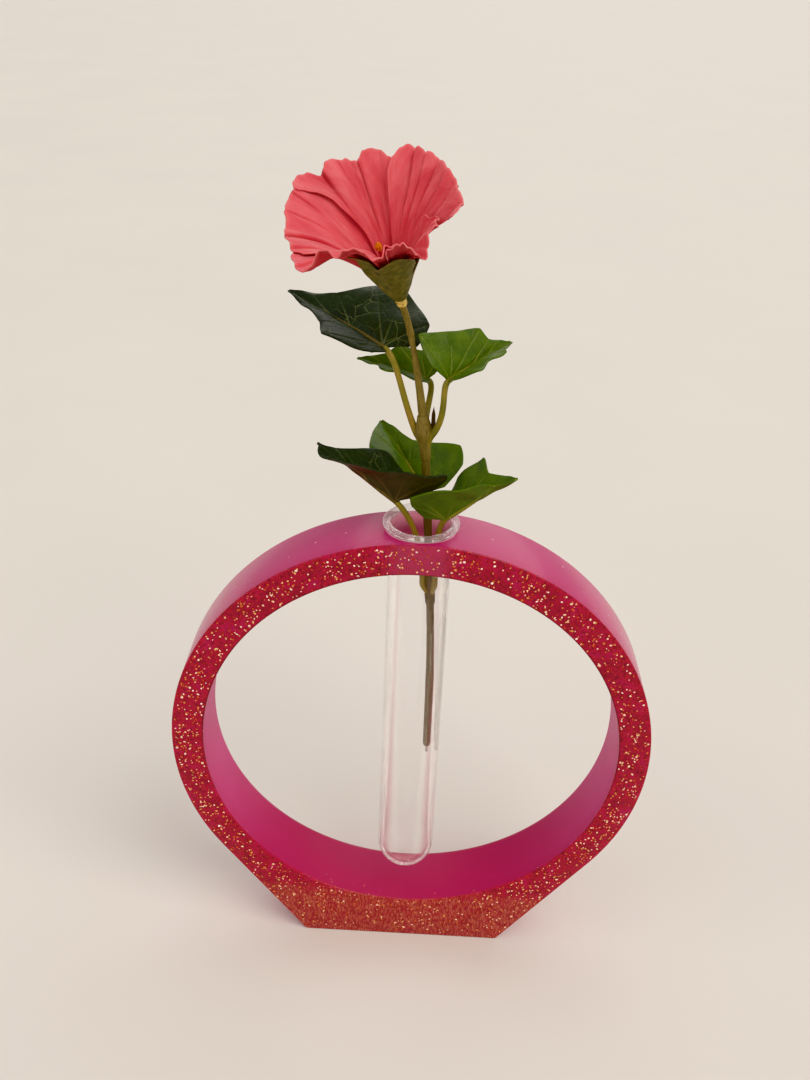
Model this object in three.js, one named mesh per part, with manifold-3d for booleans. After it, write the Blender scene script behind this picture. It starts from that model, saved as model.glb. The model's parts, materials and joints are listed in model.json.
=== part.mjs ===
// Ring-shaped tube vase: a cast resin ring carries a glass test tube with one artificial flower spray.
// Millimetres, +Z up. The ring's front face looks along -Y.
// The origin is the middle of the foot's flat underside.
import * as THREE from "three";
import { mergeVertices } from "three/addons/utils/BufferGeometryUtils.js";
import Module from "manifold-3d";

const wasm = await Module();
wasm.setup();

// Resin ring
const RING_INNER_DIAMETER = 139;
const BAND_THICKNESS = 10.5;
const FOOT_THICKNESS = 17.9;
const FOOT_WIDTH = 71;
const BACK_EDGE_RADIUS = 3.5;
const BACK_EDGE_STEPS = 3;
const BORE_WALL = 1.8;
const RING_STEPS = 56;

// Glass tube, hung by its flared rim in the bore of the ring's crown
const TUBE_OUTER_DIAMETER = 20;
const TUBE_WALL = 1.2;
const TUBE_FLOOR_GAP = 8.7;
const RIM_FLARE = 2;
const RIM_HEIGHT = 1.9;
const RIM_ROUNDING = 0.5;
const BORE_CLEARANCE = 0.7;
const SEAT_GAP = 0.3;
const TUBE_SIDES = 28;
const BOWL_STEPS = 5;

// Stem of the spray: a steel wire in a plastic coating, leaning on the tube's inner wall
const STEM_DIAMETER = 2.3;
const STEM_SIDES = 10;
const STEM_STEPS = 30;
const WIRE_DIAMETER = 0.9;
const WIRE_SIDES = 6;
const WIRE_BORE_SIDES = 8;
const WIRE_GAP = 0.3;
const WIRE_BARE_END = 3.2;
const STEM_DEPTH_IN_TUBE = 92;
const STEM_WALL_GAP = 0.3;
const STEM_LEAN_BEARING = 36;

// Stem route: shares of the full lean below the tube's mouth, then points above the mouth's middle
const STEM_BEND_DEPTH = 57;
const STEM_BEND_LEAN = 0.92;
const STEM_COLLAR_LEAN = 0.6;
const STEM_MOUTH_LEAN = 0.3;
const STEM_LOW_POINT = new THREE.Vector3(0.6, 0, 17);
const STEM_COLLAR_OFFSET = -0.7;
const STEM_HIGH_POINT = new THREE.Vector3(-4.1, 0.4, 51.5);
const STEM_STRAIGHT_END = 7;

// Leaf whorls: a collar on the stem, with a short sleeve below it and three leaf stalks
const COLLAR_WALL = 1.15;
const COLLAR_END_WALL = 0.35;
const COLLAR_LENGTH = 7;
const SLEEVE_LENGTH = 7;
const COLLAR_GAP = 0.3;
const COLLAR_SIDES = 16;
const LOWER_COLLAR_DEPTH = 21.5;
const UPPER_COLLAR_HEIGHT = 31;
const PETIOLE_DIAMETER = 1.9;
const PETIOLE_SIDES = 8;
const PETIOLE_STEPS = 8;
const PETIOLE_LEAN = 0.2;
const PETIOLE_TUBE_GAP = 0.3;
const PETIOLE_ROOT_GAP = 0.2;
const PETIOLE_ROOT_DROP = 2;
const PETIOLE_LEAVE = 0.4;
const PETIOLE_ARRIVE = 0.2;
const LOWER_SPREAD = 0;
const UPPER_SPREAD = 5;

// Leaves: base point to tip is the length, and the rest of the outline follows from it
const LEAF_THICKNESS = 0.7;
const LEAF_COLUMNS = 4;
const LEAF_STALK_GAP = 0.35;
const LOWER_LEFT_LENGTH = 34;
const LOWER_LEFT_RISE = 7.9;
const LOWER_BACK_LENGTH = 34;
const LOWER_BACK_RISE = 5;
const LOWER_RIGHT_LENGTH = 32.2;
const LOWER_RIGHT_RISE = 2.1;
const UPPER_LEFT_LENGTH = 39.7;
const UPPER_LEFT_REACH = 12.9;
const UPPER_LEFT_RISE = 22.4;
const UPPER_BACK_LENGTH = 22.9;
const UPPER_BACK_REACH = 12;
const UPPER_BACK_RISE = 10;
const UPPER_RIGHT_LENGTH = 28.9;
const UPPER_RIGHT_REACH = 7.1;
const UPPER_RIGHT_RISE = 15.6;
const RIB_DIAMETER = 1.6;
const RIB_LENGTH = 9;
const RIB_SIDES = 8;

// Flower head on its ferrule: where it sits from the middle of the mouth, and which way it faces
const FLOWER_SEAT = new THREE.Vector3(-8.9, -3.2, 70.3);
const FLOWER_AXIS = new THREE.Vector3(-0.24, -0.42, 0.875).normalize();
const FERRULE_DIAMETER = 3.2;
const FERRULE_LENGTH = 2.8;
const FERRULE_CHAMFER = 0.4;
const PEG_DIAMETER = 1.8;
const PEG_LENGTH = 3.2;
const PEG_GAP = 0.3;
const CALYX_BASE_WALL = 0.9;
const CALYX_WALL = 0.7;
const CALYX_HEIGHT = 9;
const CALYX_ROWS = 3;
const CALYX_SIDES = 30;
const SEPAL_LENGTH = 4.5;
const SEPAL_POINT = 1.5;
const PETAL_COUNT = 5;
const PETAL_LENGTH = 33.5;
const PETAL_THICKNESS = 0.5;
const PETAL_GAP = 0.7;
const PETAL_SPAN = 88;
const PETAL_SHINGLE = 0.65;
const PETAL_CORNER = 0.16;
const PETAL_ROWS = 6;
const PETAL_COLUMNS = 10;
const THROAT_DIAMETER = 4.2;
const THROAT_ANGLE = 24;
const MARGIN_ANGLE = 55;
const FRONT_CUP = 10;
const FRONT_BEARING = 276;
const CUP_FALLOFF = 4;
const RUFFLE_HEIGHT = 1.6;
const RUFFLE_WAVES = 15;
const STAMEN_DIAMETER = 1.4;
const STAMEN_END_DIAMETER = 1;
const STAMEN_LENGTH = 12;
const STAMEN_TIP_DIAMETER = 2.2;
const STAMEN_TIP_LENGTH = 2.8;
const STAMEN_SIDES = 10;
const PART_GAP = 0.3;

// Sizes that follow from the ones above
const RING_INNER_RADIUS = RING_INNER_DIAMETER / 2;
const RING_RADIUS = RING_INNER_RADIUS + BAND_THICKNESS;
const RING_AXIS_HEIGHT = FOOT_THICKNESS + RING_INNER_RADIUS;
const TUBE_RADIUS = TUBE_OUTER_DIAMETER / 2;
const TUBE_INNER_RADIUS = TUBE_RADIUS - TUBE_WALL;
const BORE_RADIUS = TUBE_RADIUS + BORE_CLEARANCE;
const RING_DEPTH = 2 * (BORE_RADIUS + BORE_WALL);
const CROWN_HEIGHT = RING_AXIS_HEIGHT + RING_RADIUS;
const RIM_TOP = CROWN_HEIGHT + SEAT_GAP + RIM_HEIGHT;
const STEM_RADIUS = STEM_DIAMETER / 2;
const STEM_LEAN = TUBE_INNER_RADIUS - STEM_RADIUS - STEM_WALL_GAP;
const WIRE_RADIUS = WIRE_DIAMETER / 2;
const PETIOLE_RADIUS = PETIOLE_DIAMETER / 2;
const MOUTH_REACH = TUBE_INNER_RADIUS - PETIOLE_RADIUS - PETIOLE_TUBE_GAP;

const UP = new THREE.Vector3(0, 0, 1);
const radians = THREE.MathUtils.degToRad;
const lerp = THREE.MathUtils.lerp;

// Looks of the pieces
function material(color, roughness, metalness = 0, opacity = 1) {
  return new THREE.MeshStandardMaterial({ color, roughness, metalness, opacity, transparent: opacity < 1 });
}

function mesh(name, geometry, look) {
  const piece = new THREE.Mesh(geometry, look);
  piece.name = name;
  return piece;
}

// Solids: closed meshes in and out of the boolean library
function closed(geometry) {
  const bare = geometry.index ? geometry.toNonIndexed() : geometry.clone();
  for (const key of ["normal", "uv"]) bare.deleteAttribute(key);
  return mergeVertices(bare, 1e-4);
}

function solid(geometry) {
  const merged = closed(geometry);
  const vertProperties = new Float32Array(merged.attributes.position.array);
  const triVerts = new Uint32Array(merged.index.array);
  return new wasm.Manifold(new wasm.Mesh({ numProp: 3, vertProperties, triVerts }));
}

function geometryOf(manifold) {
  const raw = manifold.getMesh();
  const geometry = new THREE.BufferGeometry();
  geometry.setAttribute("position", new THREE.BufferAttribute(raw.vertProperties, 3));
  geometry.setIndex(new THREE.BufferAttribute(raw.triVerts, 1));
  return geometry;
}

// A closed turned shape about Z, from [radius, height] pairs that run up the outside and down the inside
function turned(profile, sides) {
  const points = profile.map(([radius, height]) => new THREE.Vector2(radius, height));
  return new THREE.LatheGeometry(points, sides).rotateX(Math.PI / 2);
}

function circlePoints(radius, sides) {
  return Array.from({ length: sides }, (_, i) => {
    const angle = (2 * Math.PI * i) / sides;
    return new THREE.Vector2(radius * Math.cos(angle), radius * Math.sin(angle));
  });
}

function rodAlong(curve, section, steps) {
  return new THREE.ExtrudeGeometry(section, { steps, extrudePath: curve });
}

// A thin closed sheet: place(along 0..1, across -1..1, side -1 or 1) gives each point
function sheet(rows, columns, place) {
  const geometry = closed(new THREE.BoxGeometry(1, 2, 2, rows, columns, 1).translate(0.5, 0, 0));
  const position = geometry.attributes.position;
  for (let i = 0; i < position.count; i++) {
    const point = place(position.getX(i), position.getY(i), position.getZ(i));
    position.setXYZ(i, point.x, point.y, point.z);
  }
  return geometry;
}

// Resin ring: a circle whose sides run down as tangents to a flat foot, bored through the crown
function ringOutline() {
  const halfFoot = FOOT_WIDTH / 2;
  const cornerDistance = Math.hypot(halfFoot, RING_AXIS_HEIGHT);
  const touch = Math.acos(RING_RADIUS / cornerDistance) - Math.atan2(RING_AXIS_HEIGHT, halfFoot);
  const outline = new THREE.Shape();
  outline.moveTo(-halfFoot, 0);
  outline.lineTo(halfFoot, 0);
  outline.absarc(0, RING_AXIS_HEIGHT, RING_RADIUS, touch, Math.PI - touch, false);
  outline.closePath();
  const window = new THREE.Path();
  window.absarc(0, RING_AXIS_HEIGHT, RING_INNER_RADIUS, 0, 2 * Math.PI, true);
  outline.holes.push(window);
  return outline;
}

function makeRing() {
  // Both faces get the rounded edge, then the front is cut flat so that only the back keeps it.
  const cast = new THREE.ExtrudeGeometry(ringOutline(), {
    depth: RING_DEPTH - BACK_EDGE_RADIUS,
    curveSegments: RING_STEPS,
    bevelThickness: BACK_EDGE_RADIUS,
    bevelSize: BACK_EDGE_RADIUS,
    bevelOffset: -BACK_EDGE_RADIUS,
    bevelSegments: BACK_EDGE_STEPS,
  });
  cast.rotateX(Math.PI / 2).rotateZ(Math.PI).translate(0, -RING_DEPTH / 2, 0);
  const front = new THREE.BoxGeometry(4 * RING_RADIUS, RING_DEPTH, 4 * CROWN_HEIGHT);
  front.translate(0, -RING_DEPTH, 0);
  const bore = new THREE.CylinderGeometry(BORE_RADIUS, BORE_RADIUS, RING_RADIUS, TUBE_SIDES);
  bore.rotateX(Math.PI / 2).translate(0, 0, CROWN_HEIGHT);
  return geometryOf(solid(cast).subtract(solid(front)).subtract(solid(bore)));
}

// Test tube: round bottom, straight wall, flared rim that rests on the crown
function makeTube() {
  const bottomCentre = FOOT_THICKNESS + TUBE_FLOOR_GAP + TUBE_RADIUS;
  const rimRadius = TUBE_RADIUS + RIM_FLARE;
  const neck = RIM_TOP - RIM_HEIGHT;
  const bowl = (radius, from, to) => Array.from({ length: BOWL_STEPS + 1 }, (_, i) => {
    const angle = lerp(from, to, i / BOWL_STEPS);
    return [Math.max(radius * Math.sin(angle), 0), bottomCentre - radius * Math.cos(angle)];
  });
  return turned([
    ...bowl(TUBE_RADIUS, 0, Math.PI / 2),
    [TUBE_RADIUS, neck],
    [rimRadius - RIM_ROUNDING, neck],
    [rimRadius, neck + RIM_ROUNDING],
    [rimRadius, RIM_TOP - RIM_ROUNDING],
    [rimRadius - RIM_ROUNDING, RIM_TOP],
    [TUBE_RADIUS, RIM_TOP],
    [TUBE_INNER_RADIUS, neck],
    ...bowl(TUBE_INNER_RADIUS, Math.PI / 2, 0),
  ], TUBE_SIDES);
}

// Stem: leaning on the wall below the mouth, rising freely above it, ending square to the ferrule
const stalkTop = FLOWER_SEAT.clone().addScaledVector(FLOWER_AXIS, -(FERRULE_LENGTH + PART_GAP));
const leaning = (share, depth) => {
  const bearing = radians(STEM_LEAN_BEARING);
  const reach = share * STEM_LEAN;
  return new THREE.Vector3(reach * Math.cos(bearing), reach * Math.sin(bearing), -depth);
};
const stemRoute = [
  leaning(1, STEM_DEPTH_IN_TUBE),
  leaning(STEM_BEND_LEAN, STEM_BEND_DEPTH),
  leaning(STEM_COLLAR_LEAN, LOWER_COLLAR_DEPTH),
  leaning(STEM_MOUTH_LEAN, 0),
  STEM_LOW_POINT,
  new THREE.Vector3(STEM_COLLAR_OFFSET, 0, UPPER_COLLAR_HEIGHT),
  STEM_HIGH_POINT,
  stalkTop.clone().addScaledVector(FLOWER_AXIS, -STEM_STRAIGHT_END),
  stalkTop,
];
const stemCurve = new THREE.CatmullRomCurve3(stemRoute);

function stemPointAt(height) {
  let low = 0;
  let high = 1;
  while (high - low > 1e-9) {
    const middle = (low + high) / 2;
    if (stemCurve.getPoint(middle).z < height) low = middle;
    else high = middle;
  }
  return stemCurve.getPoint(low);
}

function makeStem() {
  const section = new THREE.Shape(circlePoints(STEM_RADIUS, STEM_SIDES));
  section.holes.push(new THREE.Path(circlePoints(WIRE_RADIUS + WIRE_GAP, WIRE_BORE_SIDES)));
  return rodAlong(stemCurve, section, STEM_STEPS);
}

function makeWire() {
  const bareEnd = stemCurve.getPoint(0).addScaledVector(stemCurve.getTangent(0), -WIRE_BARE_END);
  const curve = new THREE.CatmullRomCurve3([bareEnd, ...stemRoute]);
  return rodAlong(curve, new THREE.Shape(circlePoints(WIRE_RADIUS, WIRE_SIDES)), STEM_STEPS);
}

// Leaf: a five-lobed ivy outline on a folded midrib, with a moulded rib at its base.
// Each half's edge is in shares of the length, [along, aside]: heel, basal lobe, bay, side lobe, bay, tip
const LEAF_NECK = [0, 0.03];
const LEAF_LOBES = [[-0.04, 0.48], [0.25, 0.36], [0.55, 0.34], [0.66, 0.16]];
const LEAF_TIP = [1, 0.012];
const HEEL_BACK = 0.06;
const HEEL_ASIDE = 0.42;
const MIDRIB_ROWS = [0, 0.03, 0.09, 0.26, 0.45, 0.6, 1];
const TWIST_START = 0.2;

// The leaf's heading, its level left side and the direction square to both
function leafAxes({ heading, climb }) {
  const turn = radians(heading);
  const rise = radians(climb);
  const ahead = new THREE.Vector3(
    Math.cos(rise) * Math.cos(turn), Math.cos(rise) * Math.sin(turn), Math.sin(rise));
  const left = new THREE.Vector3(-Math.sin(turn), Math.cos(turn), 0);
  return { ahead, left, above: ahead.clone().cross(left) };
}

function makeLeaf(leaf) {
  const { ahead, left, above } = leafAxes(leaf);
  const edgeOf = (lobes) => {
    const [along, aside] = lobes[0];
    return [LEAF_NECK, [along - HEEL_BACK, aside * HEEL_ASIDE], ...lobes, LEAF_TIP];
  };
  const leftEdge = edgeOf(leaf.leftLobes ?? LEAF_LOBES);
  const rightEdge = edgeOf(leaf.rightLobes ?? LEAF_LOBES);
  const rows = MIDRIB_ROWS.length - 1;
  const blade = sheet(rows, LEAF_COLUMNS, (along, across, side) => {
    const row = Math.round(along * rows);
    const sign = across < 0 ? -1 : 1;
    const twist = (leaf.leftTwist ?? 0) * THREE.MathUtils.smoothstep(MIDRIB_ROWS[row], TWIST_START, 1);
    const rise = radians(across < 0 ? leaf.rightRise : leaf.leftRise - twist);
    const out = left.clone().multiplyScalar(sign * Math.cos(rise)).addScaledVector(above, Math.sin(rise));
    const normal = above.clone().multiplyScalar(Math.cos(rise)).addScaledVector(left, -sign * Math.sin(rise));
    const [edgeAlong, edgeAside] = (across < 0 ? rightEdge : leftEdge)[row];
    const reach = Math.abs(across);
    const onMidrib = reach < 1 / LEAF_COLUMNS;
    const point = leaf.base.clone();
    point.addScaledVector(ahead, leaf.length * lerp(MIDRIB_ROWS[row], edgeAlong, reach));
    point.addScaledVector(out, leaf.length * edgeAside * reach);
    return point.addScaledVector(onMidrib ? above : normal, (side * LEAF_THICKNESS) / 2);
  });
  const ribLine = new THREE.LineCurve3(leaf.base, leaf.base.clone().addScaledVector(ahead, RIB_LENGTH));
  const rib = rodAlong(ribLine, new THREE.Shape(circlePoints(RIB_DIAMETER / 2, RIB_SIDES)), 1);
  return geometryOf(solid(blade).add(solid(rib)));
}

// Whorl: a collar bored for the stem, joined to one curved stalk for each of its leaves
function makeWhorl(height, leaves, spread) {
  const boreRadius = STEM_RADIUS + COLLAR_GAP;
  const collarRadius = boreRadius + COLLAR_WALL;
  const endRadius = boreRadius + COLLAR_END_WALL;
  const halfLength = COLLAR_LENGTH / 2;
  const point = stemPointAt(height);
  const top = stemPointAt(height + halfLength);
  const direction = top.clone().sub(stemPointAt(height - halfLength - SLEEVE_LENGTH)).normalize();
  const collar = turned([
    [boreRadius, -COLLAR_LENGTH - SLEEVE_LENGTH],
    [endRadius, -COLLAR_LENGTH - SLEEVE_LENGTH],
    [endRadius, -COLLAR_LENGTH],
    [collarRadius, -COLLAR_LENGTH],
    [collarRadius, -halfLength],
    [endRadius, 0],
    [boreRadius, 0],
    [boreRadius, -COLLAR_LENGTH - SLEEVE_LENGTH],
  ], COLLAR_SIDES);
  collar.applyQuaternion(new THREE.Quaternion().setFromUnitVectors(UP, direction));
  collar.translate(top.x, top.y, top.z);
  const section = new THREE.Shape(circlePoints(PETIOLE_RADIUS, PETIOLE_SIDES));
  let whorl = solid(collar);
  for (const leaf of leaves) {
    const { ahead } = leafAxes(leaf);
    const bearing = Math.atan2(leaf.base.y - point.y, leaf.base.x - point.x);
    const outward = new THREE.Vector3(Math.cos(bearing), Math.sin(bearing), 0);
    const root = point.clone().addScaledVector(outward, boreRadius + PETIOLE_RADIUS + PETIOLE_ROOT_GAP);
    root.addScaledVector(direction, -PETIOLE_ROOT_DROP);
    const end = leaf.base.clone().addScaledVector(ahead, -LEAF_STALK_GAP);
    const stretch = root.distanceTo(end);
    const leave = root.clone().addScaledVector(outward, spread).addScaledVector(UP, PETIOLE_LEAVE * stretch);
    const arrive = end.clone().addScaledVector(ahead, -PETIOLE_ARRIVE * stretch);
    const bend = new THREE.CubicBezierCurve3(root, leave, arrive, end);
    whorl = whorl.add(solid(rodAlong(bend, section, PETIOLE_STEPS)));
  }
  return geometryOf(whorl);
}

// Leaves of the lower whorl stand in the tube's mouth: bearing about the tube and rise above the mouth
const lowerLeaves = [
  { name: "left", bearing: 207, rise: LOWER_LEFT_RISE, length: LOWER_LEFT_LENGTH,
    heading: 207.5, climb: 43, leftRise: 57, rightRise: 50.5,
    leftTwist: 130, leftLobes: [[-0.02, 0.55], [0.27, 0.2], [0.62, 0.18], [0.9, 0.15]],
    rightLobes: [[-0.04, 0.29], [0.2, 0.36], [0.36, 0.33], [0.77, 0.09]] },
  { name: "back", bearing: 86, rise: LOWER_BACK_RISE, length: LOWER_BACK_LENGTH,
    heading: 119, climb: 21.6, leftRise: 22.7, rightRise: 53.2,
    leftLobes: [[0, 0.36], [0.25, 0.36], [0.55, 0.38], [0.78, 0.22]],
    rightLobes: [[-0.05, 0.46], [0.12, 0.53], [0.33, 0.34], [0.55, 0.16]] },
  { name: "right", bearing: -22, rise: LOWER_RIGHT_RISE, length: LOWER_RIGHT_LENGTH,
    heading: -37.8, climb: 44.3, leftRise: 51.8, rightRise: 46.7,
    leftLobes: [[0.02, 0.22], [0.2, 0.36], [0.59, 0.39], [0.65, 0.2]],
    rightLobes: [[-0.06, 0.36], [0.07, 0.46], [0.5, 0.22], [0.8, 0.06]] },
].map((leaf) => {
  const reach = MOUTH_REACH + PETIOLE_LEAN * leaf.rise;
  const turn = radians(leaf.bearing);
  return { ...leaf, base: new THREE.Vector3(reach * Math.cos(turn), reach * Math.sin(turn), leaf.rise) };
});

// Leaves of the upper whorl: bearing, reach and rise of the base from the middle of the collar
const upperLeaves = [
  { name: "left", bearing: 166, reach: UPPER_LEFT_REACH, rise: UPPER_LEFT_RISE,
    length: UPPER_LEFT_LENGTH, heading: 141.4, climb: 13.6, leftRise: 3.4, rightRise: 27.6,
    leftLobes: [[0, 0.14], [0.15, 0.22], [0.35, 0.3], [0.49, 0.17]],
    rightLobes: [[-0.13, 0.35], [0.24, 0.5], [0.47, 0.42], [0.65, 0.17]] },
  { name: "back", bearing: 89, reach: UPPER_BACK_REACH, rise: UPPER_BACK_RISE,
    length: UPPER_BACK_LENGTH, heading: 160.7, climb: 9.2, leftRise: 17.7, rightRise: 42 },
  { name: "right", bearing: -25, reach: UPPER_RIGHT_REACH, rise: UPPER_RIGHT_RISE,
    length: UPPER_RIGHT_LENGTH, heading: 49.9, climb: 11.7, leftRise: 55.2, rightRise: 30.5,
    leftLobes: [[-0.05, 0.54], [0.32, 0.4], [0.69, 0.27], [0.73, 0.13]] },
].map((leaf) => {
  const turn = radians(leaf.bearing);
  const base = new THREE.Vector3(leaf.reach * Math.cos(turn), leaf.reach * Math.sin(turn), leaf.rise);
  return { ...leaf, base: base.add(stemPointAt(UPPER_COLLAR_HEIGHT)) };
});

// Flower pieces, in a frame whose Z runs out along the flower's axis from the calyx's underside
const FLOOR_LEVEL = PEG_LENGTH + PEG_GAP + CALYX_WALL;
const PETAL_DIP = (PETAL_SHINGLE + PETAL_THICKNESS) * Math.sin(radians(THROAT_ANGLE));
const PETAL_FOOT = FLOOR_LEVEL + PART_GAP + PETAL_DIP;

// Middle surface of the corolla, by arc length from the foot of a petal and angle about the flower's axis.
// Its slope grows steadily outwards, and less at the front, where the flower is cupped.
function corollaAt(distance, angle) {
  const start = radians(THROAT_ANGLE);
  const facing = Math.max(Math.cos(angle - radians(FRONT_BEARING)), 0);
  const margin = MARGIN_ANGLE - FRONT_CUP * Math.pow(facing, CUP_FALLOFF);
  const rate = (radians(margin) - start) / PETAL_LENGTH;
  const slope = start + rate * distance;
  return {
    radius: THROAT_DIAMETER / 2 + (Math.cos(start) - Math.cos(slope)) / rate,
    height: PETAL_FOOT + (Math.sin(slope) - Math.sin(start)) / rate,
    slope,
  };
}

function makeFerrule() {
  const radius = FERRULE_DIAMETER / 2;
  const pegRadius = PEG_DIAMETER / 2;
  return turned([
    [0, -FERRULE_LENGTH],
    [radius - FERRULE_CHAMFER, -FERRULE_LENGTH],
    [radius, -FERRULE_LENGTH + FERRULE_CHAMFER],
    [radius, -PART_GAP - FERRULE_CHAMFER],
    [radius - FERRULE_CHAMFER, -PART_GAP],
    [pegRadius, -PART_GAP],
    [pegRadius, PEG_LENGTH],
    [0, PEG_LENGTH],
  ], STAMEN_SIDES);
}

function makeCalyx() {
  const socket = PEG_DIAMETER / 2 + PEG_GAP;
  const socketTop = PEG_LENGTH + PEG_GAP;
  const clear = PETAL_GAP + PETAL_SHINGLE + PETAL_THICKNESS / 2;
  const back = radians(FRONT_BEARING - 180);
  const rowAt = (share) => corollaAt(share * CALYX_HEIGHT, back);
  const rows = Array.from({ length: CALYX_ROWS + 1 }, (_, i) => rowAt(i / CALYX_ROWS));
  const offset = ({ radius, height, slope }, distance) => [
    radius + distance * Math.cos(slope), Math.max(height - distance * Math.sin(slope), FLOOR_LEVEL)];
  const cup = turned([
    [0, socketTop],
    [socket, socketTop],
    [socket, 0],
    [socket + CALYX_BASE_WALL, 0],
    ...rows.map((row) => offset(row, clear + CALYX_WALL)),
    ...rows.map((row) => offset(row, clear)).reverse(),
    [0, FLOOR_LEVEL],
  ], CALYX_SIDES);
  // Sepals: the rim is drawn out along the petals in pointed lobes.
  const rim = rows[CALYX_ROWS];
  const position = cup.attributes.position;
  for (let i = 0; i < position.count; i++) {
    const height = position.getZ(i);
    const share = THREE.MathUtils.clamp((height - FLOOR_LEVEL) / (rim.height - FLOOR_LEVEL), 0, 1);
    const angle = Math.atan2(position.getY(i), position.getX(i));
    const point = Math.pow(Math.abs(Math.cos((PETAL_COUNT * angle) / 2)), SEPAL_POINT);
    const drawn = SEPAL_LENGTH * point * share * share;
    const radius = Math.hypot(position.getX(i), position.getY(i)) + drawn * Math.sin(rim.slope);
    const level = height + drawn * Math.cos(rim.slope);
    position.setXYZ(i, radius * Math.cos(angle), radius * Math.sin(angle), level);
  }
  return cup;
}

// Petal: a fan of the corolla whose one edge lies over its neighbour and whose margin is ruffled
function makePetal(index) {
  const middle = (2 * Math.PI * (index + 0.5)) / PETAL_COUNT;
  const halfSpan = radians(PETAL_SPAN / 2);
  return sheet(PETAL_ROWS, PETAL_COLUMNS, (along, across, side) => {
    const rounded = 1 - PETAL_CORNER * Math.pow(across, 4);
    const angle = middle + across * halfSpan;
    const { radius, height, slope } = corollaAt(PETAL_LENGTH * along * rounded, angle);
    const ruffle = RUFFLE_HEIGHT * along * along * Math.sin(RUFFLE_WAVES * angle);
    const lift = PETAL_SHINGLE * across + ruffle + (side * PETAL_THICKNESS) / 2;
    const out = radius - lift * Math.cos(slope);
    return new THREE.Vector3(out * Math.cos(angle), out * Math.sin(angle), height + lift * Math.sin(slope));
  });
}

const STAMEN_BOTTOM = FLOOR_LEVEL + PART_GAP;

function makeStamenColumn() {
  return turned([
    [0, STAMEN_BOTTOM],
    [STAMEN_DIAMETER / 2, STAMEN_BOTTOM],
    [STAMEN_END_DIAMETER / 2, STAMEN_BOTTOM + STAMEN_LENGTH],
    [0, STAMEN_BOTTOM + STAMEN_LENGTH],
  ], STAMEN_SIDES);
}

function makeStamenTip() {
  const bottom = STAMEN_BOTTOM + STAMEN_LENGTH + PART_GAP;
  const tip = new THREE.SphereGeometry(0.5, STAMEN_SIDES, STAMEN_SIDES / 2).rotateX(Math.PI / 2);
  tip.scale(STAMEN_TIP_DIAMETER, STAMEN_TIP_DIAMETER, STAMEN_TIP_LENGTH);
  return tip.translate(0, 0, bottom + STAMEN_TIP_LENGTH / 2);
}

// The whole vase
const vase = new THREE.Group();
vase.add(mesh("resin_ring", makeRing(), material(0xb5305f, 0.12, 0, 0.85)));
vase.add(mesh("test_tube", makeTube(), material(0xe8eef0, 0.03, 0, 0.25)));

const spray = new THREE.Group();
spray.position.set(0, 0, RIM_TOP);
vase.add(spray);
const stalkLook = () => material(0x8a8a35, 0.5);
const leafLook = (leaf) => (leaf.name === "left" ? material(0x1f4020, 0.4) : material(0x4f8a1c, 0.45));
spray.add(mesh("main_stem", makeStem(), material(0x6a5a2e, 0.55)));
spray.add(mesh("stem_wire", makeWire(), material(0xb8b8b4, 0.3, 1)));
spray.add(mesh("lower_leaf_whorl", makeWhorl(-LOWER_COLLAR_DEPTH, lowerLeaves, LOWER_SPREAD), stalkLook()));
spray.add(mesh("upper_leaf_whorl", makeWhorl(UPPER_COLLAR_HEIGHT, upperLeaves, UPPER_SPREAD), stalkLook()));
for (const leaf of lowerLeaves) spray.add(mesh(`lower_leaf_${leaf.name}`, makeLeaf(leaf), leafLook(leaf)));
for (const leaf of upperLeaves) spray.add(mesh(`upper_leaf_${leaf.name}`, makeLeaf(leaf), leafLook(leaf)));

const head = new THREE.Group();
head.position.copy(FLOWER_SEAT);
head.quaternion.setFromUnitVectors(UP, FLOWER_AXIS);
spray.add(head);
head.add(mesh("flower_ferrule", makeFerrule(), material(0xd9c070, 0.5)));
head.add(mesh("calyx", makeCalyx(), material(0x5c6b2a, 0.55)));
for (let i = 0; i < PETAL_COUNT; i++) {
  head.add(mesh(`petal_${i + 1}`, makePetal(i), material(0xd8505a, 0.8)));
}
head.add(mesh("stamen_column", makeStamenColumn(), material(0xd6605f, 0.7)));
head.add(mesh("stamen_tip", makeStamenTip(), material(0xe89a2a, 0.6)));

export default vase;
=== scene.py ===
"""Ring-shaped tube vase: a glittering resin ring, a glass test tube and one artificial flower spray."""
import json
import random
from math import acos, atan2, copysign, cos, degrees, exp, hypot, pi, radians, sin, sqrt

import bmesh
import bpy
from bpy.props import FloatProperty, FloatVectorProperty, IntProperty, PointerProperty
from mathutils import Matrix, Vector, noise


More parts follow.
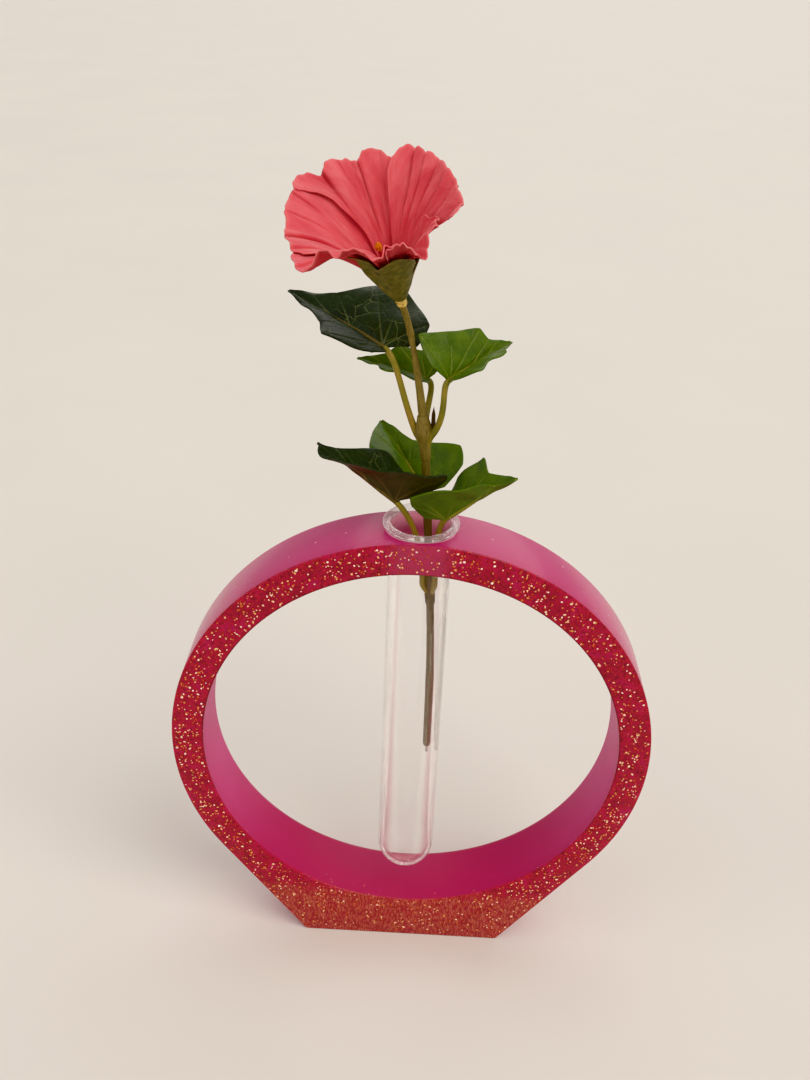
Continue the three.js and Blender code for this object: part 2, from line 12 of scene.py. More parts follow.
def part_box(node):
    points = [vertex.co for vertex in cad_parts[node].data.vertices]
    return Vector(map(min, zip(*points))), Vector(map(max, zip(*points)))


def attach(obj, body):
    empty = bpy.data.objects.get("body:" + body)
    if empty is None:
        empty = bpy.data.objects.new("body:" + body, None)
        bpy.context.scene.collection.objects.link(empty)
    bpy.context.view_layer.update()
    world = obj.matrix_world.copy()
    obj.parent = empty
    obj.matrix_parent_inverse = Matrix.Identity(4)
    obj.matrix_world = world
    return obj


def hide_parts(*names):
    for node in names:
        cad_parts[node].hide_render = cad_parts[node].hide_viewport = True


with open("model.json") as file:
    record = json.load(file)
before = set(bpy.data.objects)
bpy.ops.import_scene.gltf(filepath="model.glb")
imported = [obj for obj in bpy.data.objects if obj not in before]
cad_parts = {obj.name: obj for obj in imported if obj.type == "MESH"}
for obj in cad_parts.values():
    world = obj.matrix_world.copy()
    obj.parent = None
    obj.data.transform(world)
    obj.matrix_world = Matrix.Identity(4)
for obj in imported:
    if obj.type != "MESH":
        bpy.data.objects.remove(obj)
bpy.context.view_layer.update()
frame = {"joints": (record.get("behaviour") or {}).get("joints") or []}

bl_info = {
    "name": "Tube Vase",
    "version": (1, 0, 0),
    "blender": (4, 5, 0),
    "location": "3D View > Sidebar > Tube Vase",
    "description": "Dresses a ring-shaped resin vase, its glass tube and its flower spray",
    "category": "Add Mesh",
}

MM = 0.001
UP = Vector((0, 0, 1))


def node_box(name):
    """Lowest and highest corners of a CAD node, in millimetres."""
    low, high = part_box(name)
    return low / MM, high / MM


def seated(point, way):
    """The frame that stands at a point with its Z along a way."""
    return Matrix.Translation(point) @ UP.rotation_difference(way).to_matrix().to_4x4()


RING_LOW, RING_HIGH = node_box("resin_ring")
TUBE_LOW, TUBE_HIGH = node_box("test_tube")
FRONT = RING_LOW.y
BACK = RING_HIGH.y
RING_RADIUS = RING_HIGH.x
RING_CENTRE = RING_HIGH.z - RING_RADIUS
MOUTH = Vector((0, 0, TUBE_HIGH.z))
FLOWER_TURN = next(joint for joint in frame["joints"] if joint["name"] == "flower_turn")
FLOWER_SEAT = Vector(FLOWER_TURN["pos_m"]) / MM
FLOWER_AXIS = Vector(FLOWER_TURN["axis"]).normalized()
HEAD = seated(FLOWER_SEAT, FLOWER_AXIS)


def paint(red, green, blue):
    """A colour from its 0 to 255 screen values, as the linear values that shaders take."""
    def linear(level):
        share = level / 255
        return share / 12.92 if share <= 0.04045 else ((share + 0.055) / 1.055) ** 2.4
    return linear(red), linear(green), linear(blue)


def dimmed(tone, share):
    return tuple(channel * share for channel in tone)


# Sizes and colours that a user would change

def length(default, description):
    """A length setting, given in millimetres and kept in metres."""
    return FloatProperty(description=description, default=default * MM, min=0, unit="LENGTH")


def half(setting):
    """Half of a length setting, in millimetres."""
    return setting / MM / 2


def colour(default, description):
    """A colour setting, given in screen values."""
    return FloatVectorProperty(
        description=description, default=paint(*default), min=0, max=1, size=3, subtype="COLOR")


def strength(default, description):
    return FloatProperty(description=description, default=default, min=0)


def whole(default, description):
    return IntProperty(description=description, default=default, min=0)


class RingSettings(bpy.types.PropertyGroup):
    """Resin ring and its glitter."""
    inner_diameter: length(139, "Opening of the ring")
    foot_width: length(71, "Flat underside, from side to side")
    back_rounding: length(3.5, "Radius of both edges of the back")
    front_rounding: length(0.4, "Radius of both edges of the front")
    bore_diameter: length(21.4, "Hole through the crown for the tube")
    front_red: colour((176, 22, 58), "Resin behind the front face")
    side_pink: colour((204, 78, 136), "Resin on the outer and inner surfaces")
    floor_magenta: colour((172, 34, 84), "Resin at the bottom of the opening")
    dust_orange: colour((190, 88, 56), "Fine glitter inside the front face")
    flakes: whole(1700, "Large glitter flakes on the front")
    seed: whole(7, "Scatter of the glitter")


class TubeSettings(bpy.types.PropertyGroup):
    """Glass test tube."""
    outer_diameter: length(20, "Straight part of the tube")
    wall: length(1.2, "Thickness of the glass")
    rim_height: length(1.9, "Height of the flared rim")
    tint: colour((244, 238, 238), "Colour of the glass")


class SpraySettings(bpy.types.PropertyGroup):
    """Stem, leaf whorls and leaves."""
    stem_diameter: length(2.3, "Coated stem inside the tube")
    wire_diameter: length(0.9, "Steel core of the stem")
    stalk_diameter: length(1.9, "Stalks of the leaves")
    leaf_thickness: length(0.55, "Blade of a leaf")
    stem_brown: colour((106, 87, 50), "Coating of the stem in the tube")
    stem_olive: colour((140, 122, 68), "Coating of the stem above the tube, and collars")
    bract_brown: colour((70, 50, 30), "Dry bract on the upper collar")
    stalk_olive: colour((150, 134, 56), "Stalks of the leaves")
    leaf_dark: colour((30, 46, 16), "The two older leaves")
    leaf_bright: colour((86, 112, 14), "The four younger leaves")


class FlowerSettings(bpy.types.PropertyGroup):
    """Flower head."""
    petal_length: length(33.5, "Arc of a petal from its foot to its margin")
    cloth_thickness: length(0.35, "Pleated petal cloth")
    throat_diameter: length(4.2, "Circle on which the petals stand")
    petal_coral: colour((226, 104, 112), "Petal cloth")
    # Painted shade for the petals' folds and their shaded outside; it also darkens the throat.
    fold_shade_red: colour((150, 14, 28), "Petal cloth in the folds and the throat")
    calyx_olive: colour((98, 93, 43), "Calyx and sepals")
    ferrule_cream: colour((216, 182, 96), "Ferrule below the calyx")
    stamen_orange: colour((244, 154, 44), "Tip of the stamen column")


class StageSettings(bpy.types.PropertyGroup):
    """Floor and lights."""
    floor_white: colour((226, 220, 213), "Plain floor")
    key: strength(1.45, "Main soft light, from the right")
    fill: strength(0.5, "Soft light from the left")
    back: strength(0.6, "Soft light from behind")
    ambient: strength(0.54, "Light from all round")


# Shader maths

class Shade:
    """One socket of a finish. Arithmetic on it adds Math nodes to the same material."""

    def __init__(self, tree, socket=None):
        self.tree = tree
        self.socket = socket

    def node(self, kind, settings, sockets, output=0):
        """Add a node of this type: settings first, then the values or links of its sockets."""
        added = self.tree.nodes.new("ShaderNode" + kind)
        for name, value in settings.items():
            setattr(added, name, value)
        for name, value in sockets.items():
            socket = added.inputs[name]
            if isinstance(value, Shade):
                self.tree.links.new(value.socket, socket)
            elif socket.type == "RGBA":
                socket.default_value = (*value, 1)
            else:
                socket.default_value = value
        return Shade(self.tree, added.outputs[output])

    def math(self, operation, *values):
        return self.node("Math", {"operation": operation}, dict(enumerate(values)))

    def __add__(self, other):
        return self.math("ADD", self, other)

    def __sub__(self, other):
        return self.math("SUBTRACT", self, other)

    def __mul__(self, other):
        return self.math("MULTIPLY", self, other)

    def __pow__(self, other):
        return self.math("POWER", self, other)

    def __radd__(self, other):
        return self.math("ADD", other, self)

    def __rsub__(self, other):
        return self.math("SUBTRACT", other, self)

    def __abs__(self):
        return self.math("ABSOLUTE", self)

    def wave(self):
        return self.math("SINE", self)

    def rise(self, low, high):
        """0 at low, 1 at high and smooth between, for low above or below high."""
        settings = {"interpolation_type": "SMOOTHSTEP"}
        return self.node("MapRange", settings, {"Value": self, "From Min": low, "From Max": high})

    def mix(self, first, second):
        """Blend two colours by this value."""
        return self.node("Mix", {"data_type": "RGBA"}, {0: self, 6: first, 7: second}, 2)

    def ramp(self, *stops):
        """Read this value on a row of (position, colour) stops."""
        ramp = self.node("ValToRGB", {}, {"Fac": self})
        elements = ramp.socket.node.color_ramp.elements
        for place in range(len(stops) - len(elements)):
            elements.new(place / len(stops))
        for element, (position, tone) in zip(elements, stops):
            element.position = position
            element.color = (*tone, 1)
        return ramp

    def part(self, axis):
        return self.node("SeparateXYZ", {}, {"Vector": self}, axis)

    def vector(self, operation, *values):
        return self.node("VectorMath", {"operation": operation}, dict(enumerate(values)))

    def scaled(self, amount):
        return self.node("VectorMath", {"operation": "SCALE"}, {"Vector": self, "Scale": amount})

    def stretched(self, x, y, z):
        return self.vector("MULTIPLY", self, (x, y, z))

    def noise(self, scale, detail=2.0, output="Fac"):
        return self.node("TexNoise", {}, {"Vector": self, "Scale": scale, "Detail": detail}, output)

    def streaks(self, share, scale, detail):
        """Noise drawn out along Z."""
        return self.stretched(1, 1, share).noise(scale, detail)

    def cells(self, scale, feature="F1", output="Distance"):
        return self.node("TexVoronoi", {"feature": feature}, {"Vector": self, "Scale": scale}, output)

    def specks(self, scale, edge, core, channel, rare, common):
        """Dots of a cell pattern, full at their core, only in cells where a channel of their tint is high."""
        chosen = self.cells(scale, output="Color").part(channel).rise(rare, common)
        return self.cells(scale).rise(edge, core) * chosen

    def bump(self, strength, distance):
        """A normal from this height, for a bump of this depth in millimetres."""
        return self.node("Bump", {}, {"Height": self, "Strength": strength, "Distance": distance * MM})

    def attribute(self, name):
        return self.node("Attribute", {"attribute_name": name}, {}, "Fac")

    def chart(self, name):
        return self.node("UVMap", {"uv_map": name}, {})

    def edge_on(self):
        """1 where the surface is seen from its side, 0 where it is seen square."""
        return self.node("LayerWeight", {}, {"Blend": 0.5}, "Facing")


def layers(ground, *covers):
    """Lay tones over a ground, each by how much it covers."""
    for cover, tone in covers:
        ground = cover.mix(ground, tone)
    return ground


def shader_socket(material, name):
    return material.node_tree.nodes["Principled BSDF"].inputs[name.replace("_", " ")]


def finish(name, **constants):
    """A new material, and its Object coordinates in millimetres."""
    material = bpy.data.materials.new(name)
    material.use_nodes = True
    for socket, value in constants.items():
        shader_socket(material, socket).default_value = value
    place = Shade(material.node_tree).node("TexCoord", {}, {}, "Object").scaled(1 / MM)
    return material, place


def feed(material, **wires):
    """Link wires to a material's shader by the names of its sockets."""
    for socket, wire in wires.items():
        wire.tree.links.new(wire.socket, shader_socket(material, socket))
    return material


# Finishes

BLACK = (0, 0, 0)
# Painted light in the bore, as if shining in through the resin walls; the bore also glows with it.
BORE_PAINTED_LIGHT = paint(236, 164, 184)
DUST_SCALE = 1.5


def resin_finish(ring):
    """Dyed clear resin: fine glitter behind the front, smooth pink sides, a deeper floor, painted light and
    shade in the bore and about the tube.
    """
    material, place = finish(
        "crimson_resin", Subsurface_Weight=0.35, Subsurface_Scale=0.004, Subsurface_Radius=(1.0, 0.35, 0.45),
        IOR=1.45, Coat_Roughness=0.12, Emission_Strength=0.22)
    x, y, z = (place.part(axis) for axis in range(3))
    level = z - RING_CENTRE
    radius = (x * x + level * level) ** 0.5
    front = y.rise(FRONT + 0.9, FRONT + 0.25)
    near_front = y.rise(FRONT + 7, FRONT + 0.3)
    behind = 1 - front
    inside = radius.rise(RING_RADIUS - 8, RING_RADIUS - 10)
    low_floor = z.rise(75, 22) * inside
    # Darker magenta round the tube on the crown: painted shade under the tube's rim.
    crown = z.rise(150, 162) * abs(x).rise(17, 11)
    bore = (x * x + y * y).rise(127, 116) * z.rise(140, 150)
    # Painted shade deeper down the bore: darker colour and less glow.
    deep_shade = z.rise(RING_HIGH.z - 0.4, RING_HIGH.z - 7.5)
    side = layers(
        ring.side_pink,
        (place.noise(0.09, 3) * 0.3 + near_front * 0.2, ring.floor_magenta),
        (low_floor, ring.floor_magenta),
        ((1 - inside) * 0.22, paint(176, 56, 84)),
        (crown * 0.4, paint(198, 52, 116)),
        (bore, deep_shade.mix(BORE_PAINTED_LIGHT, paint(172, 64, 98))))

    mottle = place.noise(0.8, 3).rise(0.5, 0.66)
    # Paler front where the wall before the bore is thin: painted light showing through it.
    thin_wall_light = z.rise(142, 149) * abs(x).rise(13, 5)
    ragged_foot = (z.rise(30, 12) + place.noise(0.5, 3) * 0.7 - 0.35).rise(0.15, 0.75)
    weave = place.streaks(0.3, 1.9, 2).ramp(
        (0.34, paint(148, 34, 46)), (0.5, paint(170, 64, 60)), (0.66, paint(196, 112, 90)))
    # Dark line along the inner front edge of the upper half: painted shade where the edge refracts.
    upper_half = z.rise(RING_CENTRE - 25, RING_CENTRE + 10)
    inner_edge_shade = radius.rise(RING_RADIUS - 9.7, RING_RADIUS - 10.4) * upper_half
    red = layers(
        place.noise(0.22, 4).ramp(
            (0.3, dimmed(ring.front_red, 0.75)), (0.55, ring.front_red), (0.75, paint(182, 26, 84))),
        (mottle * 0.7, paint(108, 12, 26)),
        (thin_wall_light * 0.6, paint(178, 74, 106)),
        (ragged_foot * 0.8, weave),
        (inner_edge_shade * 0.7, paint(92, 8, 24)))

    grain = place.stretched(1, 1, 0.55)
    tint = grain.cells(DUST_SCALE, output="Color")
    warm = tint.part(1).ramp((0.0, ring.dust_orange), (0.6, paint(206, 60, 54)), (1.0, paint(226, 150, 96)))
    dust = grain.specks(DUST_SCALE, 0.36, 0.2, 0, 0.35, 0.6) * (1 - ragged_foot * 0.45) * front
    fine_dust = grain.specks(3.1, 0.34, 0.18, 1, 0.5, 0.7) * front * (0.35 + ragged_foot * 0.3)
    side_dust = place.specks(0.28, 0.11, 0.06, 2, 0.72, 0.8) * behind * z.rise(60, 130)
    floor_dust = place.specks(0.5, 0.2, 0.1, 0, 0.74, 0.8) * low_floor * near_front * behind
    body = layers(
        front.mix(side, red),
        (dust * 0.75, warm),
        (fine_dust * 0.7, paint(208, 116, 82)),
        (side_dust * 0.7, paint(250, 208, 214)),
        (floor_dust * 0.8, paint(238, 156, 116)))

    sparkle = dust + fine_dust
    shine = sparkle.math("MINIMUM", sparkle, 1.0)
    normal = place.node("NewGeometry", {}, {}, "Normal")
    tilt = tint.vector("SUBTRACT", tint, (0.5, 0.5, 0.5)).scaled(shine * 0.9)
    hollow = inside * behind
    return feed(
        material, Base_Color=body, Metallic=shine * 0.75, Coat_Weight=0.2 - hollow * 0.15,
        Normal=normal.vector("NORMALIZE", normal.vector("ADD", normal, tilt)),
        # The bore glows with painted light, less deeper down.
        Emission_Color=(bore * (1 - deep_shade * 0.6)).mix(BLACK, BORE_PAINTED_LIGHT),
        Roughness=0.2 + place.noise(0.05, 2) * 0.12 + shine * 0.1 + hollow * 0.2)


def flake_finish():
    """Cut foil: pink-white, gold and orange flakes, the paler ones with a painted glint that glows."""
    material, place = finish(
        "foil_glitter", Metallic=1.0, Coat_Weight=0.6, Coat_Roughness=0.04, Emission_Strength=0.3)
    tone = place.attribute("tone")
    foil = tone.ramp(
        (0.0, paint(206, 78, 56)), (0.25, paint(232, 130, 76)), (0.55, paint(248, 186, 124)),
        (0.8, paint(252, 214, 178)), (1.0, paint(255, 238, 226)))
    # The paler flakes glow: a painted glint.
    return feed(material, Base_Color=foil, Emission_Color=tone.rise(0.35, 0.9).mix(BLACK, foil),
                Roughness=0.22 + place.noise(1.3) * 0.2)


def glass_finish(tube):
    """Clear drawn glass, densest where it is seen edge-on, with painted shade on its edges and faint smears.
    """
    material, place = finish(
        "tube_glass", Transmission_Weight=1.0, IOR=1.3, Coat_Weight=1.0, Coat_Roughness=0.02)
    edge_on = place.edge_on()
    # Painted shade: the glass darkens where it is seen edge-on.
    glass = (edge_on.rise(0.5, 0.9) * 0.8).mix(tube.tint, paint(132, 110, 110))
    smear = place.streaks(0.2, 0.25, 4).rise(0.55, 0.8)
    return feed(material, Base_Color=glass, Roughness=0.01 + smear * 0.05,
                Alpha=0.07 + edge_on.rise(0.4, 0.9) * 0.78)


def rim_finish(tube):
    """The thick fire-rounded rim: pale, a little cloudy, denser where it is seen edge-on."""
    material, place = finish(
        "tube_rim_glass", Transmission_Weight=0.55, IOR=1.3, Coat_Weight=1.0, Coat_Roughness=0.03)
    cloud = place.noise(0.5, 3)
    return feed(material, Base_Color=(cloud * 0.5).mix(tube.tint, paint(226, 196, 204)),
                Roughness=0.12 + cloud * 0.12, Alpha=0.3 + place.edge_on().rise(0.2, 0.9) * 0.5)


def stem_finish(name, low, high=None):
    """Moulded coating: lengthwise streaks, maybe another tone above the tube, a few brown scars."""
    material, place = finish(name, Specular_IOR_Level=0.4)
    streaks = place.streaks(0.06, 2.6, 4)
    scars = place.streaks(0.5, 1.1, 3).rise(0.62, 0.74)
    ground = layers(
        place.part(2).rise(MOUTH.z - 4, MOUTH.z + 22).mix(low, high or low),
        (streaks.rise(0.35, 0.7) * 0.5, paint(84, 66, 38)),
        (scars * 0.6, paint(58, 40, 22)))
    return feed(material, Base_Color=ground, Roughness=0.42 + streaks * 0.25,
                Normal=place.streaks(0.1, 5, 3).bump(0.35, 0.15))


def wire_finish():
    """Cut steel wire."""
    material, place = finish("cut_wire", Metallic=1.0)
    drawn = place.streaks(0.05, 9, 2)
    steel = drawn.ramp((0.3, paint(176, 172, 164)), (0.7, paint(226, 224, 218)))
    return feed(material, Base_Color=steel, Roughness=0.24 + drawn * 0.2)


def stalk_finish(spray):
    """Waxy leaf stalks, yellow olive with greener and browner lengths."""
    material, place = finish(
        "waxy_stalk", Subsurface_Weight=0.12, Subsurface_Scale=0.0012, Subsurface_Radius=(1.0, 0.8, 0.2))
    streaks = place.streaks(0.08, 3.2, 3)
    ground = layers(
        place.noise(0.14, 2).ramp(
            (0.3, paint(118, 114, 46)), (0.52, spray.stalk_olive), (0.72, paint(160, 130, 66))),
        (streaks.rise(0.45, 0.75) * 0.4, paint(88, 78, 26)))
    return feed(material, Base_Color=ground, Roughness=0.38 + streaks * 0.2, Normal=streaks.bump(0.3, 0.12))


def leaf_finish(name, ground_tone, vein_tone, deep_tone, net, gloss):
    """Moulded leaf: main veins by their distance, a fine net between them, mottled ground."""
    material, place = finish(
        name, Subsurface_Weight=0.08, Subsurface_Scale=0.001, Subsurface_Radius=(0.5, 1.0, 0.2),
        Specular_IOR_Level=0.4)
    blade = place.chart("leaf")
    vein = place.attribute("vein")
    bent = blade.vector("ADD", blade, blade.noise(6, 3, "Color").scaled(0.14))
    lattice = bent.cells(7.5, "DISTANCE_TO_EDGE")
    fine_lattice = bent.cells(24, "DISTANCE_TO_EDGE")
    mottle = blade.noise(5, 4)
    patchy = blade.noise(3.5, 1).rise(0.5, 0.64)
    ground = layers(
        mottle.ramp((0.3, deep_tone), (0.62, ground_tone)),
        (lattice.rise(0.03, 0.008) * (0.05 + patchy * 0.95) * net, vein_tone),
        (fine_lattice.rise(0.06, 0.0) * 0.1, vein_tone),
        (vein.rise(0.45, 0.12) * (0.45 + patchy * 0.35), vein_tone))
    height = lattice.rise(0.0, 0.12) * 0.5 + place.noise(3.4, 3) * 0.35 + vein.rise(0.0, 0.6) * 0.6
    return feed(material, Base_Color=ground, Roughness=gloss + mottle * 0.18, Normal=height.bump(0.45, 0.25))


def petal_finish(name, flower, depth, sheen):
    """Pleated crepe cloth with painted shade over it to a depth: fine ribs, painted shade in the folds,
    darker throat, paler margin.
    """
    material, place = finish(
        name, Subsurface_Weight=0.18, Subsurface_Scale=0.0015, Subsurface_Radius=(1.0, 0.25, 0.25),
        Sheen_Weight=sheen, Sheen_Roughness=0.5, Sheen_Tint=(1.0, 0.72, 0.72, 1.0), Specular_IOR_Level=0.25)
    cloth = place.chart("cloth")
    across, along = (cloth.part(axis) for axis in range(2))
    ribs = ((across + cloth.noise(4, 2) * 0.02) * 520).wave() * 0.5 + 0.5
    crepe = cloth.stretched(60, 9, 1).noise(1, 4)
    patches = cloth.stretched(7, 3, 1).noise(1, 3)
    crumple = cloth.stretched(17, 7, 1).noise(1, 2)
    fold = place.attribute("fold").rise(0.15, 1.0)
    throat = along.rise(0.36, 0.02)
    margin = along.rise(0.965, 1.0)
    ground = layers(
        patches.ramp((0.3, paint(212, 84, 94)), (0.52, flower.petal_coral), (0.74, paint(236, 124, 128))),
        (crepe.rise(0.5, 0.8) * 0.3, paint(198, 62, 74)),
        # Painted shade in patches over the whole cloth, by depth: the petals' outside is shaded.
        (patches * depth, flower.fold_shade_red),
        # Painted shade in the folds.
        (fold * 0.75, flower.fold_shade_red),
        (throat * 0.7, flower.fold_shade_red),
        (margin * 0.3, paint(246, 142, 140)))
    height = ribs * 0.3 + crepe * 0.8 + crumple * 3
    return feed(material, Base_Color=ground, Roughness=0.62 + crepe * 0.25, Normal=height.bump(0.5, 0.2))


def calyx_finish(flower):
    """Olive calyx with browner spots and dry edges."""
    material, place = finish("calyx_skin", Subsurface_Weight=0.05, Subsurface_Scale=0.001)
    spots = place.noise(2.4, 3).rise(0.6, 0.74)
    ground = layers(
        place.noise(0.6, 3).ramp(
            (0.3, paint(78, 72, 34)), (0.5, flower.calyx_olive), (0.72, paint(128, 112, 58))),
        (place.attribute("rim") * 0.5, paint(120, 84, 46)),
        (spots * 0.5, paint(66, 50, 28)))
    grain = place.noise(3.6, 4)
    return feed(material, Base_Color=ground, Roughness=0.5 + grain * 0.2, Normal=grain.bump(0.45, 0.2))


def ferrule_finish(flower):
    """Rough cream plastic with a smear of glue."""
    material, place = finish(
        "cream_ferrule", Subsurface_Weight=0.15, Subsurface_Scale=0.0012, Subsurface_Radius=(1.0, 0.8, 0.4))
    lumps = place.noise(1.5, 3)
    ground = lumps.ramp((0.3, paint(170, 128, 54)), (0.5, flower.ferrule_cream), (0.7, paint(240, 214, 150)))
    return feed(material, Base_Color=ground, Roughness=0.34 + lumps * 0.3, Normal=lumps.bump(0.6, 0.35))


def stamen_finish(flower):
    """Grainy orange pollen."""
    material, place = finish("stamen_pollen", Subsurface_Weight=0.1, Subsurface_Scale=0.0008)
    grains = place.cells(3.2)
    ground = grains.ramp((0.0, paint(255, 196, 92)), (0.35, flower.stamen_orange), (0.75, paint(196, 86, 20)))
    return feed(material, Base_Color=ground, Roughness=0.6 + grains * 0.25,
                Normal=(1 - grains).bump(0.7, 0.3))


def floor_finish(stage):
    """Plain pale floor with the faintest unevenness."""
    material, place = finish("pale_floor", Specular_IOR_Level=0.3)
    slow = place.noise(0.006, 3)
    ground = slow.ramp((0.3, dimmed(stage.floor_white, 0.97)), (0.7, stage.floor_white))
    return feed(material, Base_Color=ground, Roughness=0.5 + slow * 0.2)


# Modelling helpers, in millimetres

def smooth_step(value, low, high):
    share = min(max((value - low) / (high - low), 0), 1)
    return share * share * (3 - 2 * share)


def shares(count):
    """Even steps from 0 to 1."""
    return [i / count for i in range(count + 1)]


def spoke(angle, reach=1, rise=0):
    """A point at a reach from the Z axis, by its angle about it."""
    return Vector((reach * cos(angle), reach * sin(angle), rise))


def between(keys, value):
    """Read a list of (place, amount) keys with smooth steps between them."""
    for (place, amount), (next_place, next_amount) in zip(keys, keys[1:]):
        if value <= next_place:
            return amount + (next_amount - amount) * smooth_step(value, place, next_place)
    return keys[-1][1]


def cubic(points, share):
    """A point on a cubic curve with four control points."""
    rest = 1 - share
    first, second, third, fourth = points
    return (first * rest ** 3 + second * (3 * rest * rest * share)
            + third * (3 * rest * share * share) + fourth * share ** 3)


def flowing(route, share):
    """A point on the smooth curve through all points of a route, at a share of its spans."""
    last = len(route) - 1
    span = min(int(share * last), last - 1)
    weight = share * last - span
    start, end = route[span], route[span + 1]
    before = route[span - 1] if span else 2 * route[0] - route[1]
    after = route[span + 2] if span + 2 <= last else 2 * route[last] - route[last - 1]
    first, middle, third = ((b - a).length ** 0.5 for a, b in ((before, start), (start, end), (end, after)))
    leave = ((start - before) / first - (end - before) / (first + middle) + (end - start) / middle) * middle
    arrive = ((end - start) / middle - (after - start) / (middle + third) + (after - end) / third) * middle
    bend = 3 * (end - start) - 2 * leave - arrive
    twist = 2 * (start - end) + leave + arrive
    return start + leave * weight + bend * weight ** 2 + twist * weight ** 3


def verts_of(geometry):
    return [item for item in geometry if isinstance(item, bmesh.types.BMVert)]


def turned(profile, steps):
    """Spin (radius, height) pairs about Z into a closed shape."""
    bm = bmesh.new()
    line = [bm.verts.new((radius, 0, height)) for radius, height in profile]
    edges = [bm.edges.new(pair) for pair in zip(line, line[1:])]
    bmesh.ops.spin(
        bm, geom=line + edges, cent=(0, 0, 0), axis=UP, angle=2 * pi, steps=steps, use_merge=True)
    bmesh.ops.remove_doubles(bm, verts=bm.verts, dist=1e-4)
    bmesh.ops.dissolve_degenerate(bm, dist=1e-4, edges=bm.edges)
    bmesh.ops.recalc_face_normals(bm, faces=bm.faces)
    return bm


def rod(bm, path, radii, sides):
    """Sweep a round section along a path, station by station, and close its ends."""
    last = len(path) - 1
    ways = [(path[min(i + 1, last)] - path[max(i - 1, 0)]).normalized() for i in range(last + 1)]
    turn = UP.rotation_difference(ways[0])
    seats = []
    for i, point in enumerate(path):
        if i:
            turn = ways[i - 1].rotation_difference(ways[i]) @ turn
        seats.append(Matrix.Translation(point) @ turn.to_matrix().to_4x4() @ Matrix.Scale(radii[i], 4))
    everything = bmesh.ops.create_circle(
        bm, cap_ends=True, segments=sides, radius=1, matrix=seats[0])["verts"]
    loop = list(everything[0].link_faces[0].edges)
    for seat, previous in zip(seats[1:], seats):
        grown = bmesh.ops.extrude_edge_only(bm, edges=loop)["geom"]
        verts = verts_of(grown)
        fresh = set(verts)
        loop = [item for item in grown
                if isinstance(item, bmesh.types.BMEdge) and fresh.issuperset(item.verts)]
        bmesh.ops.transform(bm, matrix=seat @ previous.inverted(), verts=verts)
        everything += verts
    bmesh.ops.contextual_create(bm, geom=loop)
    return everything


def shaped_grid(rows, columns, chart_name, mark_name, shape, top):
    """A sheet: a function gives each vert of a grid its point, its spot on the chart and its mark."""
    bm = bmesh.new()
    bmesh.ops.create_grid(bm, x_segments=rows, y_segments=columns, size=1)
    chart = bm.loops.layers.uv.new(chart_name)
    mark = bm.verts.layers.float.new(mark_name)
    spots = {}
    for vert in bm.verts:
        vert.co, spots[vert], vert[mark] = shape(vert.co.x / 2 + 0.5, vert.co.y)
    for face in bm.faces:
        for loop in face.loops:
            loop[chart].uv = spots[loop.vert]
    bm.normal_update()
    if sum(face.normal.dot(top) for face in bm.faces) < 0:
        bmesh.ops.reverse_faces(bm, faces=bm.faces)
    return bm


def on_head(bm):
    """Move a shape from the flower's own frame to its seat."""
    bmesh.ops.transform(bm, matrix=HEAD, verts=bm.verts)
    return bm


def linked(name, data):
    """A new object in the scene."""
    item = bpy.data.objects.new(name, data)
    bpy.context.scene.collection.objects.link(item)
    return item


def in_metres(bm, name):
    """An object from a shape in millimetres."""
    bmesh.ops.scale(bm, vec=(MM, MM, MM), verts=bm.verts)
    mesh = bpy.data.meshes.new(name)
    bm.to_mesh(mesh)
    bm.free()
    return linked(name, mesh)


def smoothed(mesh, crease):
    """Shade smooth, but for edges sharper than a crease in degrees."""
    mesh.shade_smooth()
    mesh.set_sharp_from_angle(angle=radians(crease))


def place_piece(bm, name, body, finishes, nodes=(), crease=35):
    """Turn a shape into a piece that rides on a body and stands for its CAD nodes."""
    piece = in_metres(bm, name)
    smoothed(piece.data, crease)
    for material in finishes:
        piece.data.materials.append(material)
    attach(piece, body)
    if nodes:
        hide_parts(*nodes)
    return piece


def thicken(piece, thickness, other_side):
    """Give a sheet its thickness, half to each side, with another finish on its other side."""
    wall = piece.modifiers.new("thickness", "SOLIDIFY")
    wall.thickness = thickness
    wall.offset = 0
    wall.material_offset = other_side


# Resin ring

RING_SEGMENTS = 360
CORNER_ROUNDING = 0.6
CORNER_ANGLE = 0.6
EDGE_ANGLE = 1.2
RING_CREASE = 35
FLAKE_THICKNESS = 0.09
FLAKE_LEAN = 0.22


def ring_reach(angle, half_foot):
    """Distance from the ring's axis to its outline: a circle with tangents down to a flat foot."""
    touch = acos(RING_RADIUS / hypot(half_foot, RING_CENTRE)) - atan2(RING_CENTRE, half_foot)
    bearing = angle if cos(angle) >= 0 else pi - angle
    bearing = atan2(sin(bearing), cos(bearing))
    if bearing >= touch:
        return RING_RADIUS
    tangent = RING_RADIUS / cos(bearing - touch)
    level = RING_CENTRE / sin(-bearing)
    return min(tangent, level)


